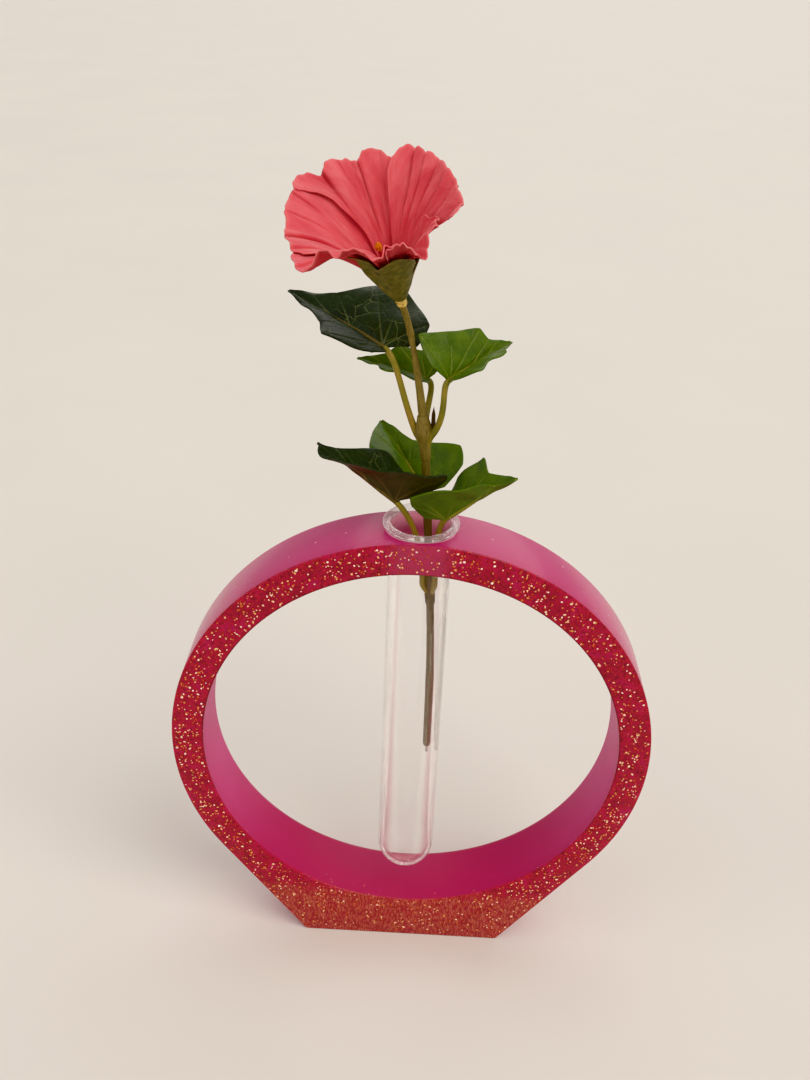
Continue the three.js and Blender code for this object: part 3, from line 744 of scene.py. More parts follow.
def make_ring(ring):
    """Cast the ring: front outline, depth, rounded edges."""
    half_foot = half(ring.foot_width)
    back_rounding = ring.back_rounding / MM
    bm = bmesh.new()
    stand = Matrix.Translation((0, FRONT, RING_CENTRE)) @ Matrix.Rotation(pi / 2, 4, "X")

    def circle(radius):
        return bmesh.ops.create_circle(bm, segments=RING_SEGMENTS, radius=radius, matrix=stand)["verts"]

    outer = circle(RING_RADIUS)
    circle(half(ring.inner_diameter))
    for vert in outer:
        angle = atan2(vert.co.z - RING_CENTRE, vert.co.x)
        reach = ring_reach(angle, half_foot)
        vert.co.x = reach * cos(angle)
        vert.co.z = RING_CENTRE + reach * sin(angle)
    for side in (-1, 1):
        corner = Vector((side * half_foot, FRONT, 0))
        min(outer, key=lambda vert: (vert.co - corner).length).co = corner
    bmesh.ops.bridge_loops(bm, edges=bm.edges[:])
    grown = bmesh.ops.extrude_face_region(bm, geom=bm.faces[:])["geom"]
    bmesh.ops.translate(bm, vec=(0, BACK - FRONT, 0), verts=verts_of(grown))
    bmesh.ops.recalc_face_normals(bm, faces=bm.faces)

    def edges_at(depth):
        return [edge for edge in bm.edges if edge.calc_face_angle(0) > EDGE_ANGLE
                and all(abs(vert.co.y - depth) < 1e-3 for vert in edge.verts)]

    def foot_corners():
        return [edge for edge in bm.edges if CORNER_ANGLE < edge.calc_face_angle(0) < EDGE_ANGLE
                and max(vert.co.y for vert in edge.verts) < BACK - back_rounding + 0.01]

    def round_off(edges, size, steps):
        bmesh.ops.bevel(bm, geom=edges, offset=size, offset_type="OFFSET", affect="EDGES", segments=steps,
                        profile=0.5, material=-1, clamp_overlap=False)

    round_off(edges_at(BACK), back_rounding, 8)
    round_off(foot_corners(), CORNER_ROUNDING, 3)
    round_off(edges_at(FRONT), ring.front_rounding / MM, 3)
    bmesh.ops.recalc_face_normals(bm, faces=bm.faces)
    return bm


def bore_crown(piece, ring):
    """Cut the tube's bore through the crown."""
    bm = bmesh.new()
    radius = half(ring.bore_diameter)
    bmesh.ops.create_cone(bm, cap_ends=True, segments=128, radius1=radius, radius2=radius, depth=40,
                          matrix=Matrix.Translation((0, 0, RING_HIGH.z)))
    drill = in_metres(bm, "bore")
    cut = piece.modifiers.new("bore", "BOOLEAN")
    cut.object = drill
    cut.solver = "EXACT"
    view = bpy.context.evaluated_depsgraph_get()
    bored = bpy.data.meshes.new_from_object(piece.evaluated_get(view))
    piece.modifiers.remove(cut)
    piece.data = bored
    bored.name = piece.name
    smoothed(bored, RING_CREASE)
    mesh = drill.data
    bpy.data.objects.remove(drill)
    bpy.data.meshes.remove(mesh)


def make_flakes(ring):
    """Scatter six-sided foil flakes in the front face, in loose clusters, fewer and duller at the foot."""
    chance = random.Random(ring.seed)
    half_foot = half(ring.foot_width)
    inner = half(ring.inner_diameter)
    flat = Matrix.Rotation(pi / 2, 4, "X")
    bm = bmesh.new()
    tone = bm.verts.layers.float.new("tone")
    made = 0
    while made < ring.flakes:
        x = chance.uniform(-RING_RADIUS, RING_RADIUS)
        z = chance.uniform(0, RING_HIGH.z)
        level = z - RING_CENTRE
        if not inner + 0.8 < hypot(x, level) < ring_reach(atan2(level, x), half_foot) - 0.9:
            continue
        clump = noise.noise(Vector((x, z, 3)) * 0.22)
        if chance.random() > (0.6 + 0.5 * clump) * (0.5 + 0.5 * smooth_step(z, 12, 26)):
            continue
        size = 0.27 + 0.27 * chance.random() ** 2
        pitch, yaw = (Matrix.Rotation(chance.gauss(0, FLAKE_LEAN), 4, axis) for axis in "XZ")
        spin = Matrix.Rotation(chance.uniform(0, pi), 4, "Y")
        narrow = Matrix.Scale(chance.uniform(0.55, 1), 4, (1, 0, 0))
        seat = Matrix.Translation((x, FRONT, z)) @ pitch @ yaw @ spin @ flat @ narrow
        flake = bmesh.ops.create_cone(bm, cap_ends=True, segments=6, radius1=size, radius2=size * 0.9,
                                      depth=FLAKE_THICKNESS, matrix=seat)
        shade = chance.random() * (0.85 + 0.15 * smooth_step(z, 14, 60))
        for vert in flake["verts"]:
            vert[tone] = shade
        made += 1
    return bm


# Glass tube

def make_tube(tube):
    """Round bottom, straight wall and a flared, fire-rounded rim."""
    outer = half(tube.outer_diameter)
    inner = outer - tube.wall / MM
    top = TUBE_HIGH.z
    neck = top - tube.rim_height / MM
    bottom = TUBE_LOW.z + outer
    bead = half(tube.rim_height)
    middle = Vector((TUBE_HIGH.x - bead, neck + bead))
    quarter = [pi / 2 * share for share in shares(14)]
    turns = [pi * share - pi / 2 for share in shares(24)[1:]]
    profile = [(outer * sin(turn), bottom - outer * cos(turn)) for turn in quarter]
    profile += [(outer, neck - 0.5), (outer + 0.12, neck - 0.12), (outer + 0.5, neck + 0.06)]
    profile += [(middle.x + bead * cos(turn), middle.y + bead * sin(turn)) for turn in turns]
    profile += [(outer + 0.2, top - 0.12), (outer - 0.5, top - 0.5)]
    profile += [(inner + 0.25, neck + 0.4), (inner, neck - 0.9)]
    profile += [(inner * sin(turn), bottom - inner * cos(turn)) for turn in reversed(quarter)]
    bm = turned(profile, 160)
    for face in bm.faces:
        face.material_index = int(face.calc_center_median().z > neck - 0.4)
    return bm


# Stem, wire and leaf whorls

STEM_LEAN = 7.1
STEM_BEARING = radians(36)
USUAL_STEM = 2.3


def leaning(share, depth):
    """A point of the stem in the tube, leaning on the glass by a share of the full lean."""
    return MOUTH + spoke(STEM_BEARING, share * STEM_LEAN, -depth)


STALK_TOP = FLOWER_SEAT - FLOWER_AXIS * 3.1
STEM_ROUTE = [
    leaning(1, 92), leaning(0.92, 57), leaning(0.6, 21.5), leaning(0.3, 0),
    MOUTH + Vector((0.6, 0, 17)), MOUTH + Vector((-0.7, 0, 31)), MOUTH + Vector((-4.1, 0.4, 51.5)),
    STALK_TOP - FLOWER_AXIS * 7, STALK_TOP,
]

# Stem radius by height above the mouth: ragged end, seam in the tube, thick below the upper collar, node
STEM_RADII = [
    (-92, 1.1), (-91, 1.36), (-59, 1.4), (-57.8, 1.16), (-57, 1.32), (-50, 1.26), (4, 1.2), (18, 1.3),
    (28, 1.38), (36, 1.27), (46, 1.06), (55.5, 0.86), (57.6, 0.9), (58.6, 1.05), (60, 0.94), (72, 0.92),
]


def stem_point(height):
    """The stem's middle at a height above the mouth."""
    low, high = 0.0, 1.0
    for _ in range(40):
        middle = (low + high) / 2
        if flowing(STEM_ROUTE, middle).z < MOUTH.z + height:
            low = middle
        else:
            high = middle
    return flowing(STEM_ROUTE, low)


def make_stem(spray):
    """The coated stem, uneven along its length."""
    thick = spray.stem_diameter / USUAL_STEM / MM
    path = [flowing(STEM_ROUTE, share) for share in shares(240)]
    radii = []
    for point in path:
        uneven = 1 + 0.05 * noise.noise(point * 0.35)
        radii.append(thick * between(STEM_RADII, point.z - MOUTH.z) * uneven)
    bm = bmesh.new()
    rod(bm, path, radii, 28)
    return bm


def make_wire(spray):
    """The stem's steel core, bare and cut at its lower end."""
    radius = half(spray.wire_diameter)
    end = STEM_ROUTE[0]
    way = (flowing(STEM_ROUTE, 0.004) - end).normalized()
    path = [end - way * reach for reach in (3.2, 3.1, 2.9, 1)]
    path += [flowing(STEM_ROUTE, share) for share in shares(80)]
    bm = bmesh.new()
    rod(bm, path, [radius * 0.7, radius * 0.9] + [radius] * (len(path) - 2), 14)
    return bm


# Edge of a leaf's half in shares of its length, (along, aside): basal lobe, bay, side lobe, bay
LEAF_LOBES = ((-0.04, 0.48), (0.25, 0.36), (0.55, 0.34), (0.66, 0.16))
MIDRIB_ROWS = (0, 0.03, 0.09, 0.26, 0.45, 0.6, 1)
MIDRIB_SPANS = len(MIDRIB_ROWS) - 1
LEAF_GRID = (132, 76)
RIB_SHARE = 0.62
MOUTH_REACH = 7.55
LOWER_WHORL = -21.5
UPPER_WHORL = 31
COLLAR_ABOVE = 3.5
COLLAR_BELOW = 10.5

# Profile of a collar below its top: (radius, height)
COLLAR = [
    (0, -14), (1.5, -14), (1.62, -13.6), (1.7, -11), (1.78, -8.2), (2.1, -7.2), (2.5, -6.2), (2.62, -5),
    (2.5, -3.9), (2.1, -2.4), (1.78, -1.1), (1.66, -0.2), (1.5, 0), (0, 0),
]

# How thick stalks, bract and ribs are, by the share of their length
STALK_TAPER = [(0, 1.09), (0.2, 1.0), (0.6, 0.92), (0.93, 0.94), (1, 0.8)]
BRACT_RADII = [(0, 0.3), (0.35, 1.1), (0.7, 0.95), (1, 0.12)]
RIB_RADII = [(0, 0.72), (0.25, 0.72), (1, 0.16)]


class Leaf:
    """One leaf: where its base is, which way it points, how its halves are cut, folded and curled."""

    def __init__(self, name, base, turn, size, folds, left=LEAF_LOBES, right=LEAF_LOBES,
                 twist=0, curl=0.06, droop=0.03, roundness=0.45):
        self.name, self.base, self.length = name, base, size
        self.folds = dict(zip((1, -1), folds))
        self.lobes = {1: [Vector(lobe) for lobe in left], -1: [Vector(lobe) for lobe in right]}
        self.twist, self.curl, self.droop, self.roundness = twist, curl, droop, roundness
        heading, climb = (radians(angle) for angle in turn)
        self.ahead = spoke(heading, cos(climb), sin(climb))
        self.left = Vector((-sin(heading), cos(heading), 0))
        self.above = self.ahead.cross(self.left)

    def edge(self, side):
        """Corners of one half's edge, from the neck round the heel and the lobes to the tip."""
        first = self.lobes[side][0]
        heel = Vector((first.x - 0.06, first.y * 0.42))
        return [Vector((0, 0.03)), heel, *self.lobes[side], Vector((1, 0.003))]

    def veins(self, side):
        """Main veins of one half: the midrib, one to each lobe, short ones between."""
        basal, bay, lobe, notch = self.lobes[side]
        neck = Vector((0.015, 0))
        return [
            (Vector((0, 0)), Vector((1, 0))), (neck, basal * 0.94), (neck, lobe * 0.95), (neck, bay * 0.7),
            (Vector((0.34, 0)), notch * 0.96), (Vector((0.56, 0)), Vector((0.8, 0.06))),
        ]


def in_mouth(bearing, rise):
    """Base of a lower leaf, over the tube's mouth."""
    return MOUTH + spoke(radians(bearing), MOUTH_REACH + 0.2 * rise, rise)


def from_collar(bearing, reach, rise):
    """Base of an upper leaf, about the upper collar."""
    return stem_point(UPPER_WHORL) + spoke(radians(bearing), reach, rise)


LOWER_LEAVES = [
    Leaf("lower_leaf_left", in_mouth(207, 7.9), (207.5, 43), 34, (57, 50.5),
         ((-0.04, 0.55), (0.22, 0.34), (0.62, 0.19), (0.9, 0.15)),
         ((-0.04, 0.29), (0.2, 0.36), (0.36, 0.33), (0.77, 0.09)),
         twist=130, curl=0.05, droop=0, roundness=1),
    Leaf("lower_leaf_back", in_mouth(86, 5), (119, 21.6), 34, (22.7, 53.2),
         ((0, 0.36), (0.25, 0.36), (0.55, 0.38), (0.78, 0.22)),
         ((-0.05, 0.46), (0.12, 0.53), (0.33, 0.34), (0.55, 0.16))),
    Leaf("lower_leaf_right", in_mouth(-22, 2.1), (-37.8, 44.3), 32.2, (51.8, 46.7),
         ((0.02, 0.22), (0.2, 0.36), (0.59, 0.39), (0.65, 0.2)),
         ((-0.06, 0.36), (0.07, 0.46), (0.5, 0.22), (0.8, 0.06))),
]
UPPER_LEAVES = [
    Leaf("upper_leaf_left", from_collar(166, 12.9, 22.4), (141.4, 13.6), 39.7, (3.4, 27.6),
         ((0, 0.14), (0.15, 0.22), (0.35, 0.3), (0.49, 0.17)),
         ((-0.13, 0.35), (0.24, 0.5), (0.47, 0.42), (0.65, 0.17))),
    Leaf("upper_leaf_back", from_collar(89, 12, 10), (160.7, 9.2), 22.9, (17.7, 42)),
    Leaf("upper_leaf_right", from_collar(-25, 7.1, 15.6), (49.9, 11.7), 28.9, (55.2, 30.5),
         ((-0.05, 0.54), (0.32, 0.4), (0.69, 0.27), (0.73, 0.13))),
]


def collar_seat(height):
    """Top of the collar at a height on the stem, and the stem's way through it."""
    top = stem_point(height + COLLAR_ABOVE)
    return top, (top - stem_point(height - COLLAR_BELOW)).normalized()


def make_whorl(height, leaves, spread, spray):
    """A knobbed collar round the stem and a curved stalk to each leaf."""
    point = stem_point(height)
    top, way = collar_seat(height)
    bm = turned(COLLAR, 40)
    bmesh.ops.transform(bm, matrix=seated(top, way), verts=bm.verts)
    collar = len(bm.faces)
    radius = half(spray.stalk_diameter)
    for leaf in leaves:
        outward = spoke(atan2(leaf.base.y - point.y, leaf.base.x - point.x))
        root = point + outward * (1.45 + radius + 0.2) - way * 2
        end = leaf.base - leaf.ahead * 0.1
        stretch = (end - root).length
        leave = root + outward * spread + UP * (0.4 * stretch)
        controls = (root, leave, end - leaf.ahead * (0.2 * stretch), end)
        start = (leave - root).normalized()
        heel = (root - outward * 2.5 - way * 6, root - outward * 1.8 - way * 3.4, root - start * 1.6, root)
        path = [cubic(heel, share) for share in shares(8)[:-1]]
        path += [cubic(controls, share) for share in shares(36)]
        radii = [radius * (0.9 + 0.2 * share) for share in shares(8)[:-1]]
        radii += [radius * between(STALK_TAPER, share) for share in shares(36)]
        rod(bm, path, radii, 20)
    bm.faces.ensure_lookup_table()
    for face in bm.faces[collar:]:
        face.material_index = 1
    return bm


def add_bract(bm, height):
    """A dry, pointed scale pressed against the right of a collar."""
    top, way = collar_seat(height)
    outward = spoke(radians(4))
    path = [top + way * (9 * share - 6.2) + outward * (2.9 + 0.5 * share ** 2) for share in shares(16)]
    scale = rod(bm, path, [between(BRACT_RADII, share) for share in shares(16)], 12)
    bmesh.ops.scale(bm, vec=(0.6, 1, 1), space=Matrix.Translation(-path[8]), verts=scale)
    for face in {face for vert in scale for face in vert.link_faces}:
        face.material_index = 2


def vein_gap(spot, veins):
    """Distance from a leaf point to its nearest main vein, in shares of the leaf's length."""
    gaps = []
    for start, end in veins:
        run = end - start
        share = min(max((spot - start).dot(run) / run.length_squared, 0), 1)
        gaps.append((spot - start - run * share).length + 0.006 * share)
    return min(gaps)


def make_leaf(leaf):
    """A lobed blade folded along its midrib, pressed in along its veins."""
    edges = {side: leaf.edge(side) for side in (1, -1)}
    veins = {side: leaf.veins(side) for side in (1, -1)}

    def shape(along, across):
        side = 1 if across >= 0 else -1
        reach = abs(across)
        row = min(int(along * MIDRIB_SPANS), MIDRIB_SPANS - 1)
        step = along * MIDRIB_SPANS - row
        straight = edges[side][row].lerp(edges[side][row + 1], step)
        edge = straight.lerp(flowing(edges[side], along), leaf.roundness)
        middle = MIDRIB_ROWS[row] + (MIDRIB_ROWS[row + 1] - MIDRIB_ROWS[row]) * step
        spot = Vector((middle + (edge.x - middle) * reach, edge.y * reach))
        fold = leaf.folds[side]
        if side == 1:
            fold -= leaf.twist * smooth_step(middle, 0.2, 1)
        fold = radians(fold) * (0.35 + 0.65 * smooth_step(spot.y, 0, 0.05))
        out = leaf.left * (side * cos(fold)) + leaf.above * sin(fold)
        normal = leaf.above * cos(fold) - leaf.left * (side * sin(fold))
        gap = vein_gap(spot, veins[side])
        puff = leaf.curl * 4 * reach * (1 - reach) * edge.y - leaf.droop * max(spot.x, 0) ** 2
        ripple = 0.012 * reach ** 3 * sin(17 * spot.x + 3 * side)
        ripple += 0.02 * noise.noise(Vector((spot.x * 4, side * spot.y * 4, leaf.length)))
        press = 0.006 * exp(-(gap / 0.014) ** 2)
        blade = leaf.ahead * spot.x + out * spot.y + normal * (puff + ripple - press)
        return leaf.base + leaf.length * blade, (spot.x, side * spot.y), gap * leaf.length

    return shaped_grid(*LEAF_GRID, "leaf", "vein", shape, leaf.above)


def make_rib(leaf):
    """The moulded rib under the midrib, thick at the stalk and fading towards the tip."""
    path = []
    for share in shares(18):
        along = RIB_SHARE * share
        path.append(leaf.base + leaf.length * (leaf.ahead * along - leaf.above * (leaf.droop * along ** 2)))
    bm = bmesh.new()
    rod(bm, path, [between(RIB_RADII, share) for share in shares(18)], 14)
    return bm


# Flower head, in its own frame: Z runs out along the flower's axis from the calyx's underside

CALYX_FLOOR = 4.2
JOINT_GAP = 0.3
THROAT_ANGLE = radians(24)
PETAL_FOOT = CALYX_FLOOR + JOINT_GAP + 1.15 * sin(THROAT_ANGLE)

# How far the corolla opens at its margin, by bearing about the flower's axis: cupped and wavy at the front
OPENING = [
    (-40, 54), (-20, 55), (0, 55), (72, 56), (150, 57), (205, 58), (222, 59), (229, 58), (234, 52),
    (239, 40), (245, 40), (250, 46), (256, 40), (261, 40), (266, 43), (271, 55), (276, 52), (282, 34),
    (288, 37), (294, 45), (300, 53), (306, 80), (312, 100), (318, 96), (324, 54), (330, 52), (338, 55),
    (360, 55),
]

# How far its middle is drawn in, or pushed out, where the front petals cup before their margins flare
HOLLOW = [
    (-40, 0), (196, 0), (222, 2.5), (229, 4.5), (234, 4.5), (239, 3), (245, 3), (250, 3.5), (256, 1.5),
    (261, 0), (266, -0.5), (271, 1), (288, 0), (294, 0), (300, 1), (306, 3), (312, 3.5), (318, 3.5),
    (324, 1), (338, 1), (352, 0), (360, 0),
]


def corolla(flower, distance, opening, hollow=0):
    """Middle surface of the corolla by arc length from the throat, opening to an angle at its margin."""
    full = flower.petal_length / MM
    rate = (radians(opening) - THROAT_ANGLE) / full
    slope = THROAT_ANGLE + rate * distance
    drawn = hollow * sin(pi * min(max(distance / full, 0), 1))
    radius = half(flower.throat_diameter) + (cos(THROAT_ANGLE) - cos(slope)) / rate
    height = PETAL_FOOT + (sin(slope) - sin(THROAT_ANGLE)) / rate
    return radius - drawn * cos(slope), height + drawn * sin(slope), slope


STRAIGHT = ((0, 0), (1, 0))


class Petal:
    """One petal: its flat cut as (width, length, area), which is not used, its bearings, its folds as
    (bearing, step, start), its reach by bearing, and how far its start and its end are drawn in along it."""

    def __init__(self, cut, start, end, folds, reach, start_waist=STRAIGHT, end_waist=STRAIGHT):
        self.cut, self.folds, self.reach = cut, folds, reach
        self.start, self.start_waist = start, start_waist
        self.end, self.end_waist = end, end_waist


PETALS = [
    Petal((40, 34, 660), -22, 80,
          [(-8, 0.7, 0.4), (8, 1.2, 0.2), (24, 1.5, 0.1), (38, 1.6, 0.2), (50, 1.4, 0.12), (61, 1.6, 0.08)],
          [(-22, 0.93), (-17, 0.97), (-8, 0.95), (6, 0.955), (9, 0.945), (22, 0.965), (25, 0.955),
           (36, 0.98), (39, 0.965), (48, 1.0), (51, 0.985), (59, 1.015), (62, 1.0), (67, 1.035), (72, 1.0),
           (76, 0.92), (80, 0.82)],
          start_waist=[(0, 12), (0.4, 26), (0.75, 16), (1, 0)]),
    Petal((38, 35, 520), 66, 150,
          [(86, 0.4, 0.5), (103, -1.7, 0.12), (114, 0.6, 0.5), (128, 1.4, 0.5)],
          [(66, 0.78), (74, 0.85), (80, 0.94), (86, 1.0), (92, 1.03), (97, 1.02), (101, 0.965),
           (104, 0.945), (110, 1.0), (117, 1.035), (123, 1.03), (127, 0.995), (130, 0.98), (135, 1.07),
           (140, 1.1), (145, 1.085), (150, 1.05)],
          end_waist=[(0, 8), (0.4, 22), (0.7, 15), (1, 0)]),
    Petal((40, 34, 700), 118, 222,
          [(152, 0.9, 0.5), (168, 0.7, 0.45), (186, 1.0, 0.2), (203, 0.7, 0.35)],
          [(118, 0.84), (135, 0.95), (146, 1.03), (152, 1.045), (162, 1.03), (180, 0.985), (196, 0.975),
           (205, 0.99), (212, 0.93), (222, 0.82)]),
    Petal((42, 36, 850), 180, 294,
          [(222, 0.6, 0.35), (268, -0.6, 0.4)],
          [(180, 0.8), (190, 0.9), (203, 0.96), (214, 1.02), (227, 1.08), (234, 1.08), (240, 1.11),
           (246, 1.11), (250, 1.08), (256, 1.11), (261, 1.08), (266, 0.99), (271, 0.96), (276, 0.87),
           (284, 0.82), (294, 0.74)]),
    Petal((34, 32, 430), 280, 374,
          [(292, -0.7, 0.3), (308, 1.2, 0.2), (331, 1.0, 0.2)],
          [(280, 0.86), (283, 0.9), (288, 0.96), (294, 0.93), (300, 0.82), (306, 0.7), (312, 0.67),
           (318, 0.65), (324, 0.78), (330, 0.84), (338, 0.78), (352, 0.72), (362, 0.64), (374, 0.55)]),
]
PETAL_GRID = (60, 210)
FOLD_WIDTH = 0.9
FULL_CREASE = 1.5


def make_petal(flower, petal):
    """A fan of pleated cloth: panels that step over each other at the folds, and a ruffled margin."""
    full = flower.petal_length / MM

    def shape(along, across):
        share = across / 2 + 0.5
        first = petal.start + between(petal.start_waist, along)
        last = petal.end - between(petal.end_waist, along)
        bearing = first + (last - first) * share
        angle = radians(bearing)
        opened = smooth_step(along, 0.06, 0.85)
        pleat = 0.0
        crease = 0.0
        for place, step, start in petal.folds:
            place += 2.5 * noise.noise(Vector((along * 2.2, place, 3)))
            depth = step * smooth_step(along, start, start + 0.5)
            over = smooth_step(bearing, place - FOLD_WIDTH, place + FOLD_WIDTH)
            pleat += depth * (share - over)
            # How near a fold: this mark becomes painted shade in the cloth's folds.
            aside = bearing - place - 0.5 * copysign(FOLD_WIDTH, step)
            near = exp(-(aside / (1.3 * FOLD_WIDTH)) ** 2)
            crease = max(crease, near * min(abs(depth), FULL_CREASE) / FULL_CREASE)
        flutter = noise.noise(Vector((angle * 3.4, along * 1.6, 7)))
        crinkle = noise.noise(Vector((angle * 17, along * 1.5, 2)))
        distance = full * along * (1 + (between(petal.reach, bearing) - 1) * along + 0.012 * along * crinkle)
        round_bearing = bearing % 360
        radius, height, slope = corolla(
            flower, distance, between(OPENING, round_bearing), between(HOLLOW, round_bearing))
        ruffle = along ** 2 * (1.5 * flutter + 0.3 * crinkle + 0.5 * along * sin(15 * angle))
        shingle = (0.65 + 0.4 * opened) * across
        lift = shingle + opened * pleat + ruffle
        point = HEAD @ spoke(angle, radius - lift * cos(slope), height + lift * sin(slope))
        return point, (share, along), crease

    return shaped_grid(*PETAL_GRID, "cloth", "fold", shape, FLOWER_AXIS)


# Bearing of each sepal, its reach beyond the cup, half its width in degrees, and how slender it is
SEPALS = ((0, 4.5, 36, 1.2), (72, 6, 36, 1.2), (150, 6, 36, 1.2), (240, 23, 30, 0.9), (286, 21, 40, 0.45))

# How far the sepals lie open, and how far they are drawn in, by bearing
SEPAL_OPENING = [
    (0, 55), (150, 57), (205, 57), (238, 44), (256, 41), (290, 40), (312, 47), (332, 54), (360, 55)]
SEPAL_HOLLOW = [(0, 0), (205, 0), (229, 3), (250, 2.5), (268, 0), (360, 0)]
CUP_DEPTH = 7.0
CUP_ROWS = 24
CUP_OPENING = 56
CUP_WALL = 0.6
CUP_CLEARANCE = 1.6

# Profile of the calyx's socket and underside, and of the ferrule with its peg: (radius, height)
SOCKET = [(0, 3.5), (1.2, 3.5), (1.2, 0), (1.75, 0), (2.1, 0.15), (2.35, 0.8)]
FERRULE = [
    (0, -2.9), (1.0, -2.9), (1.35, -2.75), (1.5, -2.4), (1.45, -2.0), (1.3, -1.75), (1.45, -1.45),
    (1.62, -1.0), (1.6, -0.7), (1.4, -0.42), (1.1, -0.32), (0.9, -0.3), (0.9, 3.1), (0.8, 3.2), (0, 3.2),
]


def sepal_at(bearing):
    """How far the nearest sepal stands out at a bearing, and how near its middle that is."""
    stands = []
    for place, reach, half_width, slender in SEPALS:
        near = max(1 - abs((bearing - place + 180) % 360 - 180) / half_width, 0)
        stands.append((reach * near ** slender, near))
    return max(stands)


def make_calyx(flower):
    """A cup with five pointed sepals that lie along the petals."""
    rows = [corolla(flower, CUP_DEPTH * share, CUP_OPENING) for share in shares(CUP_ROWS)]

    def offset(row, distance):
        radius, height, slope = row
        return radius + distance * cos(slope), max(height - distance * sin(slope), CALYX_FLOOR)

    profile = SOCKET + [offset(row, CUP_CLEARANCE + CUP_WALL * (1 - 0.6 * share))
                        for row, share in zip(rows, shares(CUP_ROWS))]
    profile += [offset(row, CUP_CLEARANCE) for row in reversed(rows)]
    profile += [(0, CALYX_FLOOR)]
    bm = turned(profile, 240)
    rim_height = rows[-1][1]
    rim = bm.verts.layers.float.new("rim")
    for vert in bm.verts:
        angle = atan2(vert.co.y, vert.co.x)
        bearing = degrees(angle) % 360
        share = min(max((vert.co.z - CALYX_FLOOR) / (rim_height - CALYX_FLOOR), 0), 1)
        reach, near = sepal_at(bearing)
        drawn = (reach - (1 - near) ** 3) * share * share
        opening, hollow = between(SEPAL_OPENING, bearing), between(SEPAL_HOLLOW, bearing)
        there = corolla(flower, CUP_DEPTH * share + drawn, opening, hollow)
        usual = corolla(flower, CUP_DEPTH * share, CUP_OPENING)
        seam = 0.3 * share * exp(-(near / 0.14) ** 2) + 0.1 * cos(40 * angle) * share * (1 - share)
        spread = 0.02 * reach * share ** 3
        radius = hypot(vert.co.x, vert.co.y) + there[0] - usual[0] - seam + spread * cos(there[2])
        vert.co = spoke(angle, radius, vert.co.z + there[1] - usual[1] - spread * sin(there[2]))
        vert[rim] = smooth_step(share, 0.8, 1.0)
    return on_head(bm)


def make_ferrule():
    """A short lumpy sleeve with the peg that the calyx turns on."""
    bm = turned(FERRULE, 48)
    for vert in bm.verts:
        if -2.85 < vert.co.z < -0.35:
            vert.co += Vector((vert.co.x, vert.co.y, 0)) * 0.1 * noise.noise(vert.co * 0.9)
    return on_head(bm)


STAMEN_FOOT = Vector((0, 0, CALYX_FLOOR + JOINT_GAP))
STAMEN_END = STAMEN_FOOT + Vector((-1.7, 0.2, 12))
POLLEN_SEED = 11
POLLEN_GRAINS = 46


def make_stamen_column():
    """A slender column that leans to one side."""
    controls = (STAMEN_FOOT, STAMEN_FOOT + UP * 5, STAMEN_END - UP * 4, STAMEN_END)
    bm = bmesh.new()
    path = [cubic(controls, share) for share in shares(20)]
    rod(bm, path, [0.7 - 0.24 * share for share in shares(20)[:-1]] + [0.3], 20)
    return on_head(bm)


def make_stamen_tip():
    """A bud of pollen grains."""
    chance = random.Random(POLLEN_SEED)
    middle = STAMEN_END + UP * 1.2
    bm = bmesh.new()
    core = Matrix.Translation(middle) @ Matrix.Diagonal((0.8, 0.8, 1.15, 1))
    bmesh.ops.create_icosphere(bm, subdivisions=3, radius=1, matrix=core)
    for _ in range(POLLEN_GRAINS):
        height = chance.uniform(-0.85, 1)
        turn = chance.uniform(0, 2 * pi)
        ring = sqrt(max(0, 1 - height * height))
        seat = Matrix.Translation(middle + spoke(turn, 0.82 * ring, 1.15 * height))
        bmesh.ops.create_icosphere(bm, subdivisions=1, radius=chance.uniform(0.2, 0.3), matrix=seat)
    return on_head(bm)


# Stage

FLOOR_RADIUS = 14000

# Name of each lamp, the side it shines from, its spread in degrees and its tone
LAMPS = (
    ("key", (1.3, -1.25, 2.1), 40, (1.0, 0.95, 0.88)),
    ("fill", (-2.0, -1.3, 1.5), 60, (0.97, 0.98, 1.0)),
    ("back", (0.5, 2.1, 1.9), 60, (1.0, 0.97, 0.93)),
)
SKY_TONE = (1.0, 0.97, 0.93, 1)
SENSOR_WIDTH = 36
FOCAL_LENGTH = 35.77
CAMERA_SPOT = Vector((0.127, -290.92, 325.83))
CAMERA_RIGHT = Vector((0.9986, 0.0378, 0.0370)).normalized()
CAMERA_FORWARD = Vector((-0.0148, 0.8714, -0.4904)).normalized()


def lay_floor(stage):
    bm = bmesh.new()
    bmesh.ops.create_circle(bm, cap_ends=True, segments=96, radius=FLOOR_RADIUS)
    floor = in_metres(bm, "floor")
    floor.data.materials.append(floor_finish(stage))


def hang_lamps(stage):
    for name, side, spread, tone in LAMPS:
        light = bpy.data.lights.new(name, "SUN")
        light.energy = getattr(stage, name)
        light.angle = radians(spread)
        light.color = tone
        linked(name, light).rotation_euler = Vector(side).to_track_quat("Z", "Y").to_euler()
    world = bpy.data.worlds.new("studio")
    world.use_nodes = True
    sky = world.node_tree.nodes["Background"]
    sky.inputs["Color"].default_value = SKY_TONE
    sky.inputs["Strength"].default_value = stage.ambient
    bpy.context.scene.world = world


def stand_camera():
    """Set the camera where the photo was taken from."""
    lens = bpy.data.cameras.new("photo_view")
    lens.sensor_width = SENSOR_WIDTH
    lens.lens = FOCAL_LENGTH
    lens.clip_start = 0.01
    lens.clip_end = 100
    camera = linked("photo_view", lens)
    axes = Matrix((CAMERA_RIGHT, CAMERA_RIGHT.cross(CAMERA_FORWARD), -CAMERA_FORWARD)).transposed()
    camera.matrix_world = Matrix.Translation(CAMERA_SPOT * MM) @ axes.to_4x4()
    bpy.context.scene.camera = camera


# Operators

